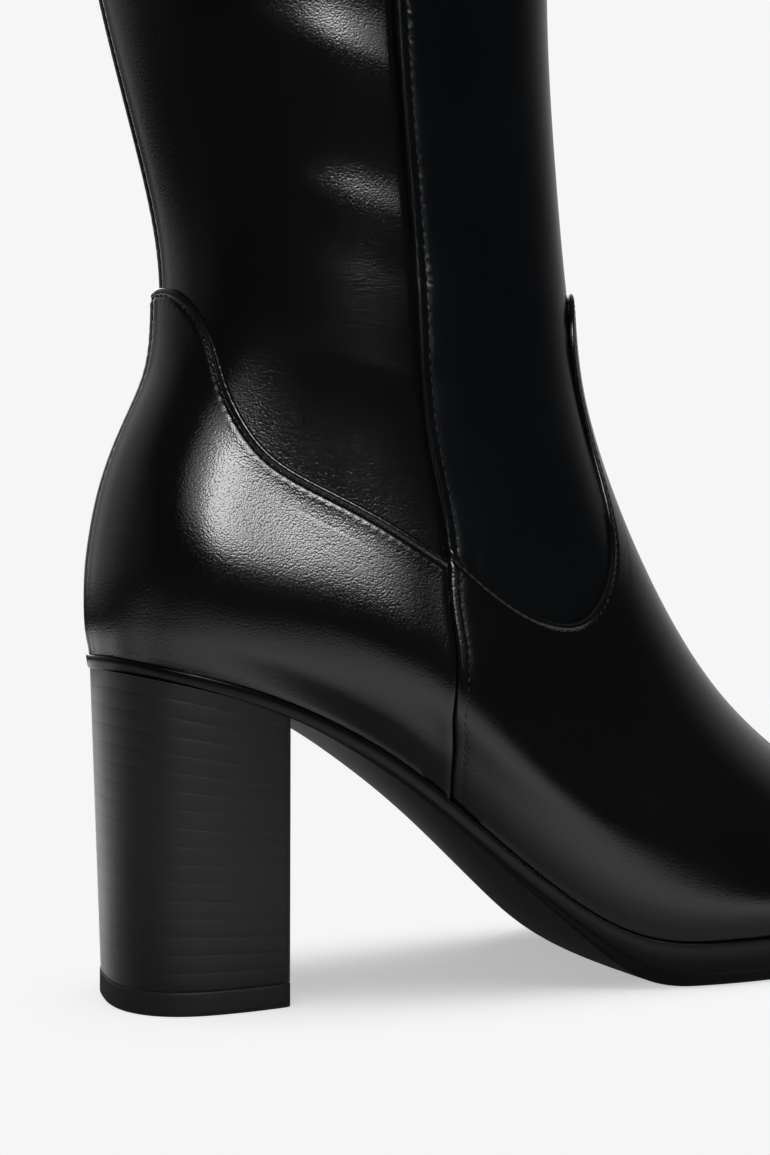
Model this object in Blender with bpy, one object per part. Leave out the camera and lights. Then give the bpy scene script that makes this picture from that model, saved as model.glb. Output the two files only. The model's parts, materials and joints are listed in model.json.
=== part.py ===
"""Knee-high block heel boot, right foot, in metres.

X runs to the toe, +Z is up and -Y is the outer side. The origin is the centre of the heel's ground face.

The shell of the upper is one smooth form. Its rings are numbered by level, from 0 at the feather line, where
the upper meets the sole, through the ankle up to the collar. Round a ring the turn goes from 0 at the back
over the outer side to 0.5 at the front and over the inner side back to 1. Every other piece of the upper
lies a set distance outside or inside that form, so it keeps its place when a size changes.
"""

import math

import bmesh
import bpy
import numpy as np

# Heel
HEEL_HEIGHT = 0.0844  # floor to the underside of the seat, at the back
HEEL_DEPTH = 0.0425  # back to breast, on the floor
HEEL_WIDTH = 0.0518  # on the floor, where it is widest
HEEL_LEAN = 0.0028  # how far the back leans out from the floor to the seat
HEEL_SPREAD = 0.0006  # how far each side leans out from the floor to the seat
HEEL_DRAW_IN = 0.0014  # how far each side draws in towards the breast
HEEL_ROUND_SHARE = 0.62  # share of the depth that the round back takes
HEEL_ROUNDNESS = 2.5  # 2 is an ellipse, more is squarer
TIP_THICKNESS = 0.0060  # top piece
TIP_REVEAL = 0.0002  # how far the top piece stands out round the block

# Foot, measured on the shell of the upper
FOOT_LENGTH = 0.2360  # seen from above, back to toe
BALL_WIDTH = 0.0810  # widest part of the feather line
FOOT_BEHIND_HEEL = 0.0016  # shell's back behind the back of the heel's ground face
ANKLE_RISE = 0.0990  # seat to the ankle level
ANKLE_DEPTH = 0.1135
ANKLE_WIDTH = 0.0630

# Shaft
SHAFT_HEIGHT = 0.2730  # ankle level to collar
CALF_DEPTH = 0.1375
CALF_WIDTH = 0.0940
SHAFT_LEAN = 0.0080  # how far the shin line leans back

# Leather
WALL = 0.0018  # leather and lining of the shell
OVERLAY = 0.0011  # counter and vamp
PANEL = 0.0007  # front panel of the shaft
GAP = 0.0003  # between pieces that touch
SOLE_GAP = 0.0006  # between the sole and the upper or insole, which curve together
SEAM_GAP = 0.0005  # between the edges of two overlays

# Sole
SEAT_THICKNESS = 0.0036  # feather line to the underside, over the heel
FOREPART_HEIGHT = 0.0120  # floor to the feather line under the ball
SOLE_REVEAL = 0.0012  # how far the side wall stands out from the leather
SIDE_LEAN = 0.0004  # how far the side wall leans in at its foot
STEP_INSET = 0.0022  # tread edge inside the side wall
TREAD_BEVEL = 0.0009  # slant of the tread's edge
WAIST_CROWN = 0.0042  # how round the underside of the waist is
TOE_SPRING = 0.0055
INSOLE_THICKNESS = 0.0028
INSOLE_CLEARANCE = 0.0004

# Feather line from the side. along: share of FOOT_LENGTH from the back. up: share of the height of the seat
# over the forepart.
FEATHER_COLUMNS = ("along", "up")
FEATHER = (
    (0.00, 1.000),
    (0.08, 0.948),
    (0.16, 0.875),
    (0.24, 0.765),
    (0.30, 0.655),
    (0.36, 0.512),
    (0.42, 0.348),
    (0.48, 0.192),
    (0.54, 0.070),
    (0.60, 0.010),
    (0.68, 0.000),
    (0.80, 0.000),
    (1.00, 0.000),
)

# Levels of the foot. back_in: share of the way from the back of the seat to the back of the ankle. back_up:
# share of ANKLE_RISE. front: share of FOOT_LENGTH. front_up: share of the ankle's height over the forepart.
# arch: how much of the feather line's curve the ring keeps. leg: how much the widths follow ANKLE_WIDTH in
# place of BALL_WIDTH. The widths, from heel to tip, are shares of that width, for a ring that is otherwise
# an ellipse.
FOOT_COLUMNS = (
    "back_in", "back_up", "front", "front_up", "arch", "leg",
    "heel", "seat", "waist", "ball", "toe", "tip",
)
FOOT_LEVELS = (
    (0.000, 0.000, 1.000, 0.030, 1.00, 0.0, 0.667, 0.364, 0.305, 0.494, 0.586, 0.667),
    (-0.070, 0.065, 1.001, 0.070, 0.93, 0.0, 0.675, 0.402, 0.352, 0.526, 0.617, 0.690),
    (-0.090, 0.135, 0.984, 0.126, 0.85, 0.0, 0.679, 0.437, 0.390, 0.530, 0.579, 0.617),
    (-0.078, 0.215, 0.933, 0.175, 0.76, 0.0, 0.675, 0.452, 0.420, 0.516, 0.560, 0.568),
    (-0.014, 0.305, 0.857, 0.240, 0.66, 0.0, 0.654, 0.456, 0.435, 0.491, 0.531, 0.531),
    (0.132, 0.425, 0.762, 0.349, 0.52, 0.2, 0.646, 0.466, 0.459, 0.488, 0.501, 0.491),
    (0.421, 0.565, 0.676, 0.509, 0.36, 0.4, 0.623, 0.467, 0.463, 0.484, 0.483, 0.461),
    (0.779, 0.705, 0.607, 0.697, 0.20, 0.6, 0.570, 0.470, 0.466, 0.480, 0.467, 0.442),
    (0.970, 0.840, 0.568, 0.863, 0.08, 0.8, 0.525, 0.480, 0.486, 0.486, 0.470, 0.450),
    (1.000, 1.000, 0.552, 1.000, 0.00, 1.0, 0.515, 0.500, 0.500, 0.500, 0.500, 0.495),
)

# Levels of the shaft. up: share of SHAFT_HEIGHT. lean: share of SHAFT_LEAN. deep and wide: share of the way
# from the ankle's depth and width to the calf's.
SHAFT_COLUMNS = ("up", "lean", "deep", "wide")
SHAFT_LEVELS = (
    (0.092, 0.400, 0.050, 0.03),
    (0.253, 0.850, 0.375, 0.30),
    (0.450, 0.950, 0.740, 0.62),
    (0.707, 1.000, 0.970, 0.90),
    (1.000, 0.860, 1.000, 1.00),
)

# How far a ring's middle lies towards the inner side, as shares of BALL_WIDTH, from heel to tip.
SWING = (0.000, -0.007, -0.057, -0.016, -0.028, 0.050)
# How much of that each level keeps.
SWING_KEPT = (1.0, 0.95, 0.9, 0.8, 0.7, 0.5, 0.3, 0.15, 0.05, 0.0)

# Side seam. level: ring. along: share of that ring's length from the back.
SEAM_COLUMNS = ("level", "along")
SIDE_SEAM = (
    (0.0, 0.366),
    (1.6, 0.366),
    (3.0, 0.383),
    (4.3, 0.423),
    (5.0, 0.452),
    (5.6, 0.472),
    (6.2, 0.495),
    (7.0, 0.491),
    (8.0, 0.489),
    (9.0, 0.491),
    (10.0, 0.501),
    (11.0, 0.522),
    (14.0, 0.550),
)

# Top edges of the counter and the vamp, from the seam to the middle of the tab. turn: share of the way from
# the seam to the back or front. level: ring.
EDGE_COLUMNS = ("turn", "level")
COUNTER_EDGE = (
    (0.00, 5.96),
    (0.12, 5.99),
    (0.30, 6.00),
    (0.40, 6.15),
    (0.48, 6.52),
    (0.55, 7.05),
    (0.61, 7.70),
    (0.70, 8.27),
    (0.81, 8.59),
    (1.00, 8.70),
)
VAMP_EDGE = (
    (0.00, 6.12),
    (0.10, 5.88),
    (0.25, 5.69),
    (0.36, 5.88),
    (0.51, 6.31),
    (0.63, 6.78),
    (0.69, 7.40),
    (0.70, 8.00),
    (0.72, 8.50),
    (0.78, 8.80),
    (0.87, 8.97),
    (1.00, 9.02),
)
EDGE_STRETCH = 6.0  # levels that weigh as much as a whole share of turn along an edge

# Underside of the sole. along: share of FOOT_LENGTH. wall and below: side wall and tread edge below the feather
# line, as shares of the way from SEAT_THICKNESS to FOREPART_HEIGHT. What would lie below the floor is flat on
# it. crown: share of WAIST_CROWN.
SOLE_COLUMNS = ("along", "wall", "below", "crown")
SOLE = (
    (0.00, 0.00, 0.00, 0.00),
    (0.21, 0.02, 0.02, 0.00),
    (0.27, 0.04, 0.11, 0.50),
    (0.36, 0.07, 0.18, 0.90),
    (0.46, 0.08, 0.32, 1.00),
    (0.52, 0.18, 0.59, 0.85),
    (0.55, 0.31, 0.85, 0.60),
    (0.58, 0.44, 1.04, 0.30),
    (0.62, 0.54, 1.11, 0.00),
    (0.80, 0.55, 1.08, 0.00),
    (1.00, 0.54, 1.04, 0.00),
)
SPRING_FROM = 0.76  # share of FOOT_LENGTH where the toe spring begins

# Fineness of the meshes
ROUND_FOOT = 60  # faces round a ring of the upper and the sole
ROUND_HEEL = 44
LOW_ROWS = 4  # rows of faces up to level 2
MIDDLE_ROWS = 8  # rows from level 2 to the ankle
EDGE_STEPS = 18  # faces of a cutter from a seam to the middle of a tab
CUTTER_ROWS = 9
CROWN_STEPS = 6
BREAST_STEPS = 4  # from the heel's corner to the middle of its breast
SIDE_STEPS = 5  # along the heel's drawn-in side
BLOCK_STEPS = 5  # up the heel block
CURVE_STEPS = 400  # for measuring along an edge
SHARP_ANGLE = math.radians(40)

# Cutters that trim the overlays
CUTTER_INSIDE = 0.0022  # how far a cutter reaches into the shell
CUTTER_OUTSIDE = 0.0050  # how far it stands out
SIDE_HOLD = 8  # how closely a patch keeps to the seams at its sides

BACK_X = -HEEL_DEPTH / 2 - FOOT_BEHIND_HEEL
SEAT_Z = HEEL_HEIGHT + SEAT_THICKNESS
ANKLE_Z = SEAT_Z + ANKLE_RISE
ANKLE_LEVEL = len(FOOT_LEVELS) - 1
TOP_LEVEL = ANKLE_LEVEL + len(SHAFT_LEVELS)
STATIONS = np.linspace(0, 1, len(SWING))
TURN_SAMPLES = np.arange(ROUND_FOOT) / ROUND_FOOT
LEVEL_SAMPLES = np.concatenate([
    np.linspace(0, 2, LOW_ROWS + 1)[:-1],
    np.linspace(2, ANKLE_LEVEL, MIDDLE_ROWS + 1)[:-1],
    np.arange(ANKLE_LEVEL, TOP_LEVEL + 1),
])


def column(table, names, name):
    """One named column of a table."""
    return np.array(table, float)[:, names.index(name)]


def spline_slopes(x, y):
    """Slopes of the smooth cubic through the points, level in bend at both ends. y may have many columns."""
    step = np.diff(x)
    count = len(x)
    matrix = np.zeros((count, count))
    right = np.zeros_like(y)
    rise = np.diff(y, axis=0) / step[:, None]
    for i in range(1, count - 1):
        matrix[i, i - 1] = 1 / step[i - 1]
        matrix[i, i] = 2 / step[i - 1] + 2 / step[i]
        matrix[i, i + 1] = 1 / step[i]
        right[i] = 3 * (rise[i - 1] / step[i - 1] + rise[i] / step[i])
    matrix[0, :2] = 2, 1
    matrix[-1, -2:] = 1, 2
    right[0] = 3 * rise[0]
    right[-1] = 3 * rise[-1]
    return np.linalg.solve(matrix, right)


def smooth(x, y, at):
    """The smooth cubic through the points (x, y), read at the values at."""
    x = np.asarray(x, float)
    y = np.asarray(y, float)
    flat = y.ndim == 1
    if flat:
        y = y[:, None]
    slopes = spline_slopes(x, y)
    at = np.clip(np.asarray(at, float), x[0], x[-1])
    place = np.clip(np.searchsorted(x, at, side="right") - 1, 0, len(x) - 2)
    step = (x[place + 1] - x[place])[..., None]
    t = (at[..., None] - x[place][..., None]) / step
    first = y[place] * (1 + 2 * t) * (1 - t) ** 2 + slopes[place] * step * t * (1 - t) ** 2
    last = y[place + 1] * t**2 * (3 - 2 * t) - slopes[place + 1] * step * t**2 * (1 - t)
    return (first + last)[..., 0] if flat else first + last


def ease(x):
    """0 below 0, 1 above 1, smooth between."""
    x = np.clip(x, 0, 1)
    return x * x * (3 - 2 * x)


def feather_z(x):
    """Height of the feather line at x. The toe springs up past the tread."""
    along = np.clip((x - BACK_X) / FOOT_LENGTH, 0, 1)
    rise = SEAT_Z - FOREPART_HEIGHT
    up = smooth(column(FEATHER, FEATHER_COLUMNS, "along"), column(FEATHER, FEATHER_COLUMNS, "up"), along)
    spring = np.clip((along - SPRING_FROM) / (1 - SPRING_FROM), 0, 1) ** 2
    return FOREPART_HEIGHT + rise * up + TOE_SPRING * spring


def level_rows():
    """Back, front, arch and half widths of every level, one row each."""
    foot = {name: column(FOOT_LEVELS, FOOT_COLUMNS, name) for name in FOOT_COLUMNS}
    shaft = {name: column(SHAFT_LEVELS, SHAFT_COLUMNS, name) for name in SHAFT_COLUMNS}
    front_x = BACK_X + foot["front"] * FOOT_LENGTH
    ankle_back = front_x[-1] - ANKLE_DEPTH
    back_x = BACK_X + foot["back_in"] * (ankle_back - BACK_X)
    back_z = SEAT_Z + foot["back_up"] * ANKLE_RISE
    front_z = FOREPART_HEIGHT + foot["front_up"] * (ANKLE_Z - FOREPART_HEIGHT)
    base = BALL_WIDTH + foot["leg"] * (ANKLE_WIDTH - BALL_WIDTH)
    widths = np.stack([foot[n] * base for n in FOOT_COLUMNS[6:]], axis=1)

    shin_x = front_x[-1] - shaft["lean"] * SHAFT_LEAN
    calf_x = shin_x - (ANKLE_DEPTH + shaft["deep"] * (CALF_DEPTH - ANKLE_DEPTH))
    shaft_z = ANKLE_Z + shaft["up"] * SHAFT_HEIGHT
    half = (ANKLE_WIDTH + shaft["wide"] * (CALF_WIDTH - ANKLE_WIDTH)) / 2
    shaft_rows = np.column_stack(
        [calf_x, shaft_z, shin_x, shaft_z, np.zeros(len(half)), np.repeat(half[:, None], len(STATIONS), 1)]
    )
    foot_rows = np.column_stack([back_x, back_z, front_x, front_z, foot["arch"], widths])
    swing = np.outer(np.append(SWING_KEPT, np.zeros(len(half))), SWING) * BALL_WIDTH
    return np.column_stack([np.vstack([foot_rows, shaft_rows]), swing])


ROWS = level_rows()
LEVELS = np.arange(TOP_LEVEL + 1.0)


def shell(turn, level):
    """Points of the shell's outer face: a ring from back to front, as wide as its row says."""
    row = smooth(LEVELS, ROWS, level)
    back_x, back_z, front_x, front_z, arch = np.moveaxis(row[..., :5], -1, 0)
    angle = 2 * math.pi * turn
    along = (1 - np.cos(angle)) / 2
    weights = smooth(STATIONS, np.eye(len(STATIONS)), along)
    half = (row[..., 5 : 5 + len(STATIONS)] * weights).sum(-1)
    swing = (row[..., 5 + len(STATIONS) :] * weights).sum(-1)
    first_x = BACK_X + along * FOOT_LENGTH
    chord = ROWS[0, 1] + along * (ROWS[0, 3] - ROWS[0, 1])
    x = back_x + along * (front_x - back_x)
    y = swing - half * np.sin(angle)
    z = back_z + along * (front_z - back_z) + arch * (feather_z(first_x) - chord)
    return np.stack([x, y, z], axis=-1)


def slopes_of(turn, level):
    """How the shell moves with turn and with level."""
    small = 1e-4
    level = np.clip(level, 0, TOP_LEVEL)
    low = np.clip(level - small, 0, TOP_LEVEL)
    high = np.clip(level + small, 0, TOP_LEVEL)
    by_turn = (shell(turn + small, level) - shell(turn - small, level)) / (2 * small)
    by_level = (shell(turn, high) - shell(turn, low)) / (high - low)[..., None]
    return by_turn, by_level


def outward(turn, level):
    """Unit vectors out of the shell. They lie level at the feather line, where the sole's face is."""
    by_turn, by_level = slopes_of(turn, level)
    out = np.cross(by_turn, by_level)
    out /= np.linalg.norm(out, axis=-1, keepdims=True)
    out[..., 2] *= ease(level / 2)
    return out / np.linalg.norm(out, axis=-1, keepdims=True)


def form(turn, level, distance):
    """The shell's outer face moved out by a distance, its foot kept on the feather line."""
    turn, level = np.broadcast_arrays(np.asarray(turn, float), np.asarray(level, float))
    start = shell(turn, level)
    moved = start + distance * outward(turn, level)
    foot = 1 - ease(level / 2)
    moved[..., 2] += foot * (feather_z(moved[..., 0]) - feather_z(start[..., 0]))
    return moved


def turn_of(along):
    """Turn on the outer side of the point at that share of a ring's length."""
    return np.arccos(1 - 2 * np.asarray(along)) / (2 * math.pi)


def seam_turn(level):
    """Turn of the outer side seam."""
    along = smooth(column(SIDE_SEAM, SEAM_COLUMNS, "level"), column(SIDE_SEAM, SEAM_COLUMNS, "along"), level)
    return turn_of(along)


def shifted(turn, level, distance):
    """A curve on the shell moved sideways in the shell, to the left of its own direction seen from outside."""
    by_turn, by_level = slopes_of(turn, level)
    points = shell(turn, level)
    along = np.gradient(points, axis=0)
    side = np.cross(outward(turn, level), along)
    side *= distance / np.linalg.norm(side, axis=-1, keepdims=True)
    aa = (by_turn * by_turn).sum(-1)
    ab = (by_turn * by_level).sum(-1)
    bb = (by_level * by_level).sum(-1)
    sa = (side * by_turn).sum(-1)
    sb = (side * by_level).sum(-1)
    area = aa * bb - ab * ab
    return turn + (sa * bb - sb * ab) / area, level + (sb * aa - sa * ab) / area


def edge_curve(table, centre, steps):
    """Turn and level along a top edge, from the outer seam to the middle of its tab at the turn centre."""
    share = column(table, EDGE_COLUMNS, "turn")
    level = column(table, EDGE_COLUMNS, "level")
    knots = np.append(0, np.cumsum(np.hypot(np.diff(share) * EDGE_STRETCH, np.diff(level))))
    fine = np.linspace(0, knots[-1], CURVE_STEPS)
    start = float(seam_turn(level[0]))
    turn = start + smooth(knots, share, fine) * (centre - start)
    level = smooth(knots, level, fine)
    points = shell(turn, level)
    walked = np.append(0, np.cumsum(np.linalg.norm(np.diff(points, axis=0), axis=1)))
    even = np.linspace(0, walked[-1], steps + 1)
    return np.interp(even, walked, turn), np.interp(even, walked, level)


def mirrored(turn, level, centre):
    """A curve from the outer seam to the middle, run on to the inner seam."""
    return np.append(turn, (2 * centre - turn)[-2::-1]), np.append(level, level[-2::-1])


def lower_region(turn, level, rows, centre):
    """Turns and levels of a patch from the feather line up to an edge, its sides along the seams."""
    count = len(turn)
    seam_foot = float(seam_turn(np.array(0.0)))
    share = np.linspace(0, 1, count)
    foot = seam_foot + share * 2 * (centre - seam_foot)
    up = np.linspace(0, 1, rows + 1)[:, None]
    levels = up * level
    turns = foot + up * (turn - foot)
    side = np.abs(1 - 2 * share)
    straight = seam_foot + up * (turn[0] - seam_foot)
    bend = seam_turn(up * level[0]) - straight
    return turns + bend * side**2 * np.sign(0.5 - share), levels


def upper_region(turn, level, rows):
    """Turns and levels of a patch from an edge up to the collar, its sides along the seams."""
    up = np.linspace(0, 1, rows + 1)[:, None]
    levels = level + up * (TOP_LEVEL - level)
    share = np.linspace(0, 1, len(turn))
    even = seam_turn(levels) + share * (1 - 2 * seam_turn(levels))
    side = np.abs(1 - 2 * share) ** SIDE_HOLD
    return turn + np.maximum(ease(up * 2), side) * (even - turn), levels


def skin_faces(rows, columns, closed):
    """Corner numbers of a grid's triangles, all its cells split the same way."""
    last = columns if closed else columns - 1
    faces = []
    for i in range(rows - 1):
        for j in range(last):
            k = (j + 1) % columns
            faces.append((i * columns + j, i * columns + k, (i + 1) * columns + k))
            faces.append((i * columns + j, (i + 1) * columns + k, (i + 1) * columns + j))
    return faces


def make_object(name, points, faces, material):
    """A mesh object with its faces turned outwards and its smooth parts shaded smooth."""
    mesh = bpy.data.meshes.new(name)
    mesh.from_pydata([tuple(map(float, p)) for p in points], [], faces)
    tidy = bmesh.new()
    tidy.from_mesh(mesh)
    bmesh.ops.recalc_face_normals(tidy, faces=tidy.faces)
    tidy.to_mesh(mesh)
    tidy.free()
    mesh.shade_smooth()
    mesh.set_sharp_from_angle(angle=SHARP_ANGLE)
    mesh.materials.append(material)
    made = bpy.data.objects.new(name, mesh)
    bpy.context.scene.collection.objects.link(made)
    return made


def plate(name, outer, inner, closed, material):
    """A solid between two grids of the same size, closed round its rims."""
    rows, columns = outer.shape[:2]
    size = rows * columns
    faces = skin_faces(rows, columns, closed)
    faces += [tuple(size + c for c in reversed(face)) for face in skin_faces(rows, columns, closed)]
    last = columns if closed else columns - 1
    for i in (0, rows - 1):
        for j in range(last):
            a = i * columns + j
            b = i * columns + (j + 1) % columns
            faces.append((a, b, size + b, size + a))
    if not closed:
        for j in (0, columns - 1):
            for i in range(rows - 1):
                a = i * columns + j
                b = a + columns
                faces.append((a, b, size + b, size + a))
    points = np.vstack([outer.reshape(-1, 3), inner.reshape(-1, 3)])
    return make_object(name, points, faces, material)


def stack_of_rings(name, rings, material, crown=None):
    """A solid with closed rings as its sides. Both ends are closed by strips from each point of a ring to its
    partner on the other side. crown gives how far below the strips the middle of the first ring's end hangs."""
    rows, columns = rings.shape[:2]
    half = columns // 2
    points = [tuple(p) for p in rings.reshape(-1, 3)]
    faces = skin_faces(rows, columns, True)

    def strips(row, steps):
        lines = [[row * columns] * (steps + 1)]
        for j in range(1, half):
            a = row * columns + j
            b = row * columns + columns - j
            line = [a]
            for k in range(1, steps):
                share = k / steps
                point = (1 - share) * rings[row, j] + share * rings[row, columns - j]
                point[2] = max(point[2] - crown[j] * 4 * share * (1 - share), 0.0)
                points.append(tuple(point))
                line.append(len(points) - 1)
            lines.append(line + [b])
        lines.append([row * columns + half] * (steps + 1))
        for first, second in zip(lines, lines[1:]):
            for k in range(steps):
                for corners in ((first[k], first[k + 1], second[k + 1]), (first[k], second[k + 1], second[k])):
                    if len(set(corners)) == 3:
                        faces.append(corners)

    strips(0, 1 if crown is None else CROWN_STEPS)
    strips(rows - 1, 1)
    return make_object(name, points, faces, material)


def plain_material(name, colour, roughness):
    """A material of one colour."""
    made = bpy.data.materials.new(name)
    made.use_nodes = True
    shader = made.node_tree.nodes["Principled BSDF"]
    shader.inputs["Base Color"].default_value = (*colour, 1)
    shader.inputs["Roughness"].default_value = roughness
    shader.inputs["Metallic"].default_value = 0
    made.diffuse_color = (*colour, 1)
    return made


def foot_outline(distance):
    """Closed ring on the feather line, a distance out from the shell."""
    return form(TURN_SAMPLES, 0.0, distance)


def sole_column(name, x):
    """One column of the sole's table, read at x."""
    along = np.clip((x - BACK_X) / FOOT_LENGTH, 0, 1)
    read = smooth(column(SOLE, SOLE_COLUMNS, "along"), column(SOLE, SOLE_COLUMNS, name), along)
    return np.maximum(read, 0.0)


def under_feather(x, name):
    """Height at x of a line of the sole that hangs below the feather line."""
    return feather_z(x) - SEAT_THICKNESS - sole_column(name, x) * (FOREPART_HEIGHT - SEAT_THICKNESS)


def wall_foot(x):
    """Height of the side wall's lower edge at x."""
    return under_feather(x, "wall")


def tread_z(x):
    """Height of the tread's edge at x, flat where it meets the floor."""
    return np.maximum(under_feather(x, "below"), 0.0)


def make_outsole(material):
    """Side wall, step, bevelled tread edge and a round waist."""
    edge = OVERLAY + GAP + SOLE_REVEAL
    top = foot_outline(edge)
    top[:, 2] = feather_z(top[:, 0]) - SOLE_GAP
    low = foot_outline(edge - SIDE_LEAN)
    low[:, 2] = wall_foot(low[:, 0])
    inside = foot_outline(edge - STEP_INSET)
    inside[:, 2] = wall_foot(inside[:, 0])
    tread = foot_outline(edge - STEP_INSET - TREAD_BEVEL)
    tread[:, 2] = tread_z(tread[:, 0])
    crown = sole_column("crown", tread[:, 0]) * WAIST_CROWN
    return stack_of_rings("outsole", np.stack([tread, inside, low, top]), material, crown)


def make_insole(material):
    """Board and cover on the sole's top face, inside the shell."""
    low = foot_outline(-WALL - INSOLE_CLEARANCE)
    low[:, 2] = feather_z(low[:, 0]) + GAP
    high = low + np.array([0, 0, INSOLE_THICKNESS])
    return stack_of_rings("insole", np.stack([low, high]), material)


def heel_outline(grow, count):
    """Closed ring of the heel seen from above: round back, sides that draw in to a flat breast."""
    round_steps = count // 2 - BREAST_STEPS - SIDE_STEPS
    front = HEEL_DEPTH / 2
    half = HEEL_WIDTH / 2 + grow
    round_depth = HEEL_DEPTH * HEEL_ROUND_SHARE
    straight = HEEL_DEPTH - round_depth
    angle = np.linspace(0, math.pi / 2, round_steps + 1)
    back_x = front - straight - (round_depth + grow) * np.cos(angle) ** (2 / HEEL_ROUNDNESS)
    back_y = half * np.sin(angle) ** (2 / HEEL_ROUNDNESS)
    share = np.arange(1, SIDE_STEPS + 1) / SIDE_STEPS
    side_x = front - straight * (1 - share)
    side_y = half - HEEL_DRAW_IN * share**2
    breast_y = side_y[-1] * (1 - np.arange(1, BREAST_STEPS + 1) / BREAST_STEPS)
    x = np.concatenate([back_x, side_x, np.full(BREAST_STEPS, front)])
    y = np.concatenate([back_y, side_y, breast_y])
    return np.append(x, x[-2:0:-1]), np.append(-y, y[-2:0:-1])


def make_top_piece(material):
    """Wearing tip on the floor, a touch wider than the block."""
    x, y = heel_outline(TIP_REVEAL, ROUND_HEEL)
    rings = [np.column_stack([x, y, np.full(len(x), z)]) for z in (0.0, TIP_THICKNESS)]
    return stack_of_rings("top_piece", np.stack(rings), material)


def make_heel_block(material):
    """Block from the top piece up to the seat. Its back and sides lean out a little."""
    x, y = heel_outline(0.0, ROUND_HEEL)
    behind = np.clip((HEEL_DEPTH / 2 - x) / HEEL_DEPTH, 0, 1)
    aside = y / (HEEL_WIDTH / 2)
    low = TIP_THICKNESS + GAP
    rings = []
    for share in np.linspace(0, 1, BLOCK_STEPS + 1):
        ring_x = x - HEEL_LEAN * behind * share
        ring_y = y + HEEL_SPREAD * aside * share
        high = wall_foot(ring_x) - GAP
        rings.append(np.column_stack([ring_x, ring_y, low + share * (high - low)]))
    return stack_of_rings("heel_block", np.stack(rings), material)


def skin(name, inside, outside, material):
    """A hollow shell between two distances from the upper's form, open at the top and underneath."""
    turns, levels = np.meshgrid(TURN_SAMPLES, LEVEL_SAMPLES)
    return plate(name, form(turns, levels, outside), form(turns, levels, inside), True, material)


def make_upper(material):
    """The hollow shell, open at the collar and underneath."""
    return skin("upper", -WALL, 0.0, material)


def cut_to(made, turns, levels, material):
    """Keeps only what lies within a patch of the form. The patch runs past the shell at its foot or top."""
    outer = form(turns, levels, CUTTER_OUTSIDE)
    inner = form(turns, levels, -CUTTER_INSIDE)
    past = np.array([0, 0, CUTTER_OUTSIDE])
    for points in (outer, inner):
        points[0] -= past * (levels[0].max() <= 0)
        points[-1] += past * (levels[-1].min() >= TOP_LEVEL)
    cutter = plate(made.name + "_cutter", outer, inner, False, material)
    cutter.hide_render = True
    cutter.display_type = "WIRE"
    cut = made.modifiers.new("cut", "BOOLEAN")
    cut.operation = "INTERSECT"
    cut.solver = "EXACT"
    cut.object = cutter
    return made


def seam_shift(turns, levels):
    """Turn that half the gap between two overlays takes."""
    return SEAM_GAP / 2 / np.linalg.norm(slopes_of(turns, levels)[0], axis=-1)


def make_counter(material):
    """Heel quarter from seam to seam round the back."""
    turn, level = mirrored(*edge_curve(COUNTER_EDGE, 0.0, EDGE_STEPS), 0.0)
    turns, levels = lower_region(turn, level, CUTTER_ROWS, 0.0)
    turns = turns + seam_shift(turns, levels) * np.linspace(-1, 1, len(turn))
    return cut_to(skin("counter", GAP, GAP + OVERLAY, material), turns, levels, material)


def make_vamp(material):
    """Forefoot from seam to seam round the front, up to its tab."""
    turn, level = mirrored(*edge_curve(VAMP_EDGE, 0.5, EDGE_STEPS), 0.5)
    turns, levels = lower_region(turn, level, CUTTER_ROWS, 0.5)
    turns = turns + seam_shift(turns, levels) * np.linspace(1, -1, len(turn))
    return cut_to(skin("vamp", GAP, GAP + OVERLAY, material), turns, levels, material)


def make_front_panel(material):
    """Front of the shaft, between the side seams, from the vamp's edge to the collar."""
    turn, level = mirrored(*edge_curve(VAMP_EDGE, 0.5, EDGE_STEPS), 0.5)
    turn, level = shifted(turn, level, SEAM_GAP)
    turns, levels = upper_region(turn, level, CUTTER_ROWS)
    return cut_to(skin("front_panel", GAP, GAP + PANEL, material), turns, levels, material)


def build():
    """Clears the scene and makes every piece."""
    for thing in list(bpy.data.objects):
        bpy.data.objects.remove(thing)
    leather = plain_material("black_leather", (0.012, 0.012, 0.013), 0.38)
    lining = plain_material("lining", (0.10, 0.085, 0.07), 0.85)
    sole_rubber = plain_material("sole_rubber", (0.010, 0.010, 0.011), 0.30)
    heel_stack = plain_material("heel_stack", (0.018, 0.018, 0.019), 0.45)
    make_top_piece(sole_rubber)
    make_heel_block(heel_stack)
    make_outsole(sole_rubber)
    make_insole(lining)
    make_upper(leather)
    make_counter(leather)
    make_vamp(leather)
    make_front_panel(leather)


build()
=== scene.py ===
# %% [markdown]
# # A knee-high block heel boot
# This is the right boot of a pair: black coated leather, a stacked block heel and a thin unit sole. The
# solids of the boot are loaded first and stay as a fixed frame. Then every surface that shows gets a finer
# skin, worked out from the same sizes, and a finish of its own.

# %% Load the frame
import json
import math

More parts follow.
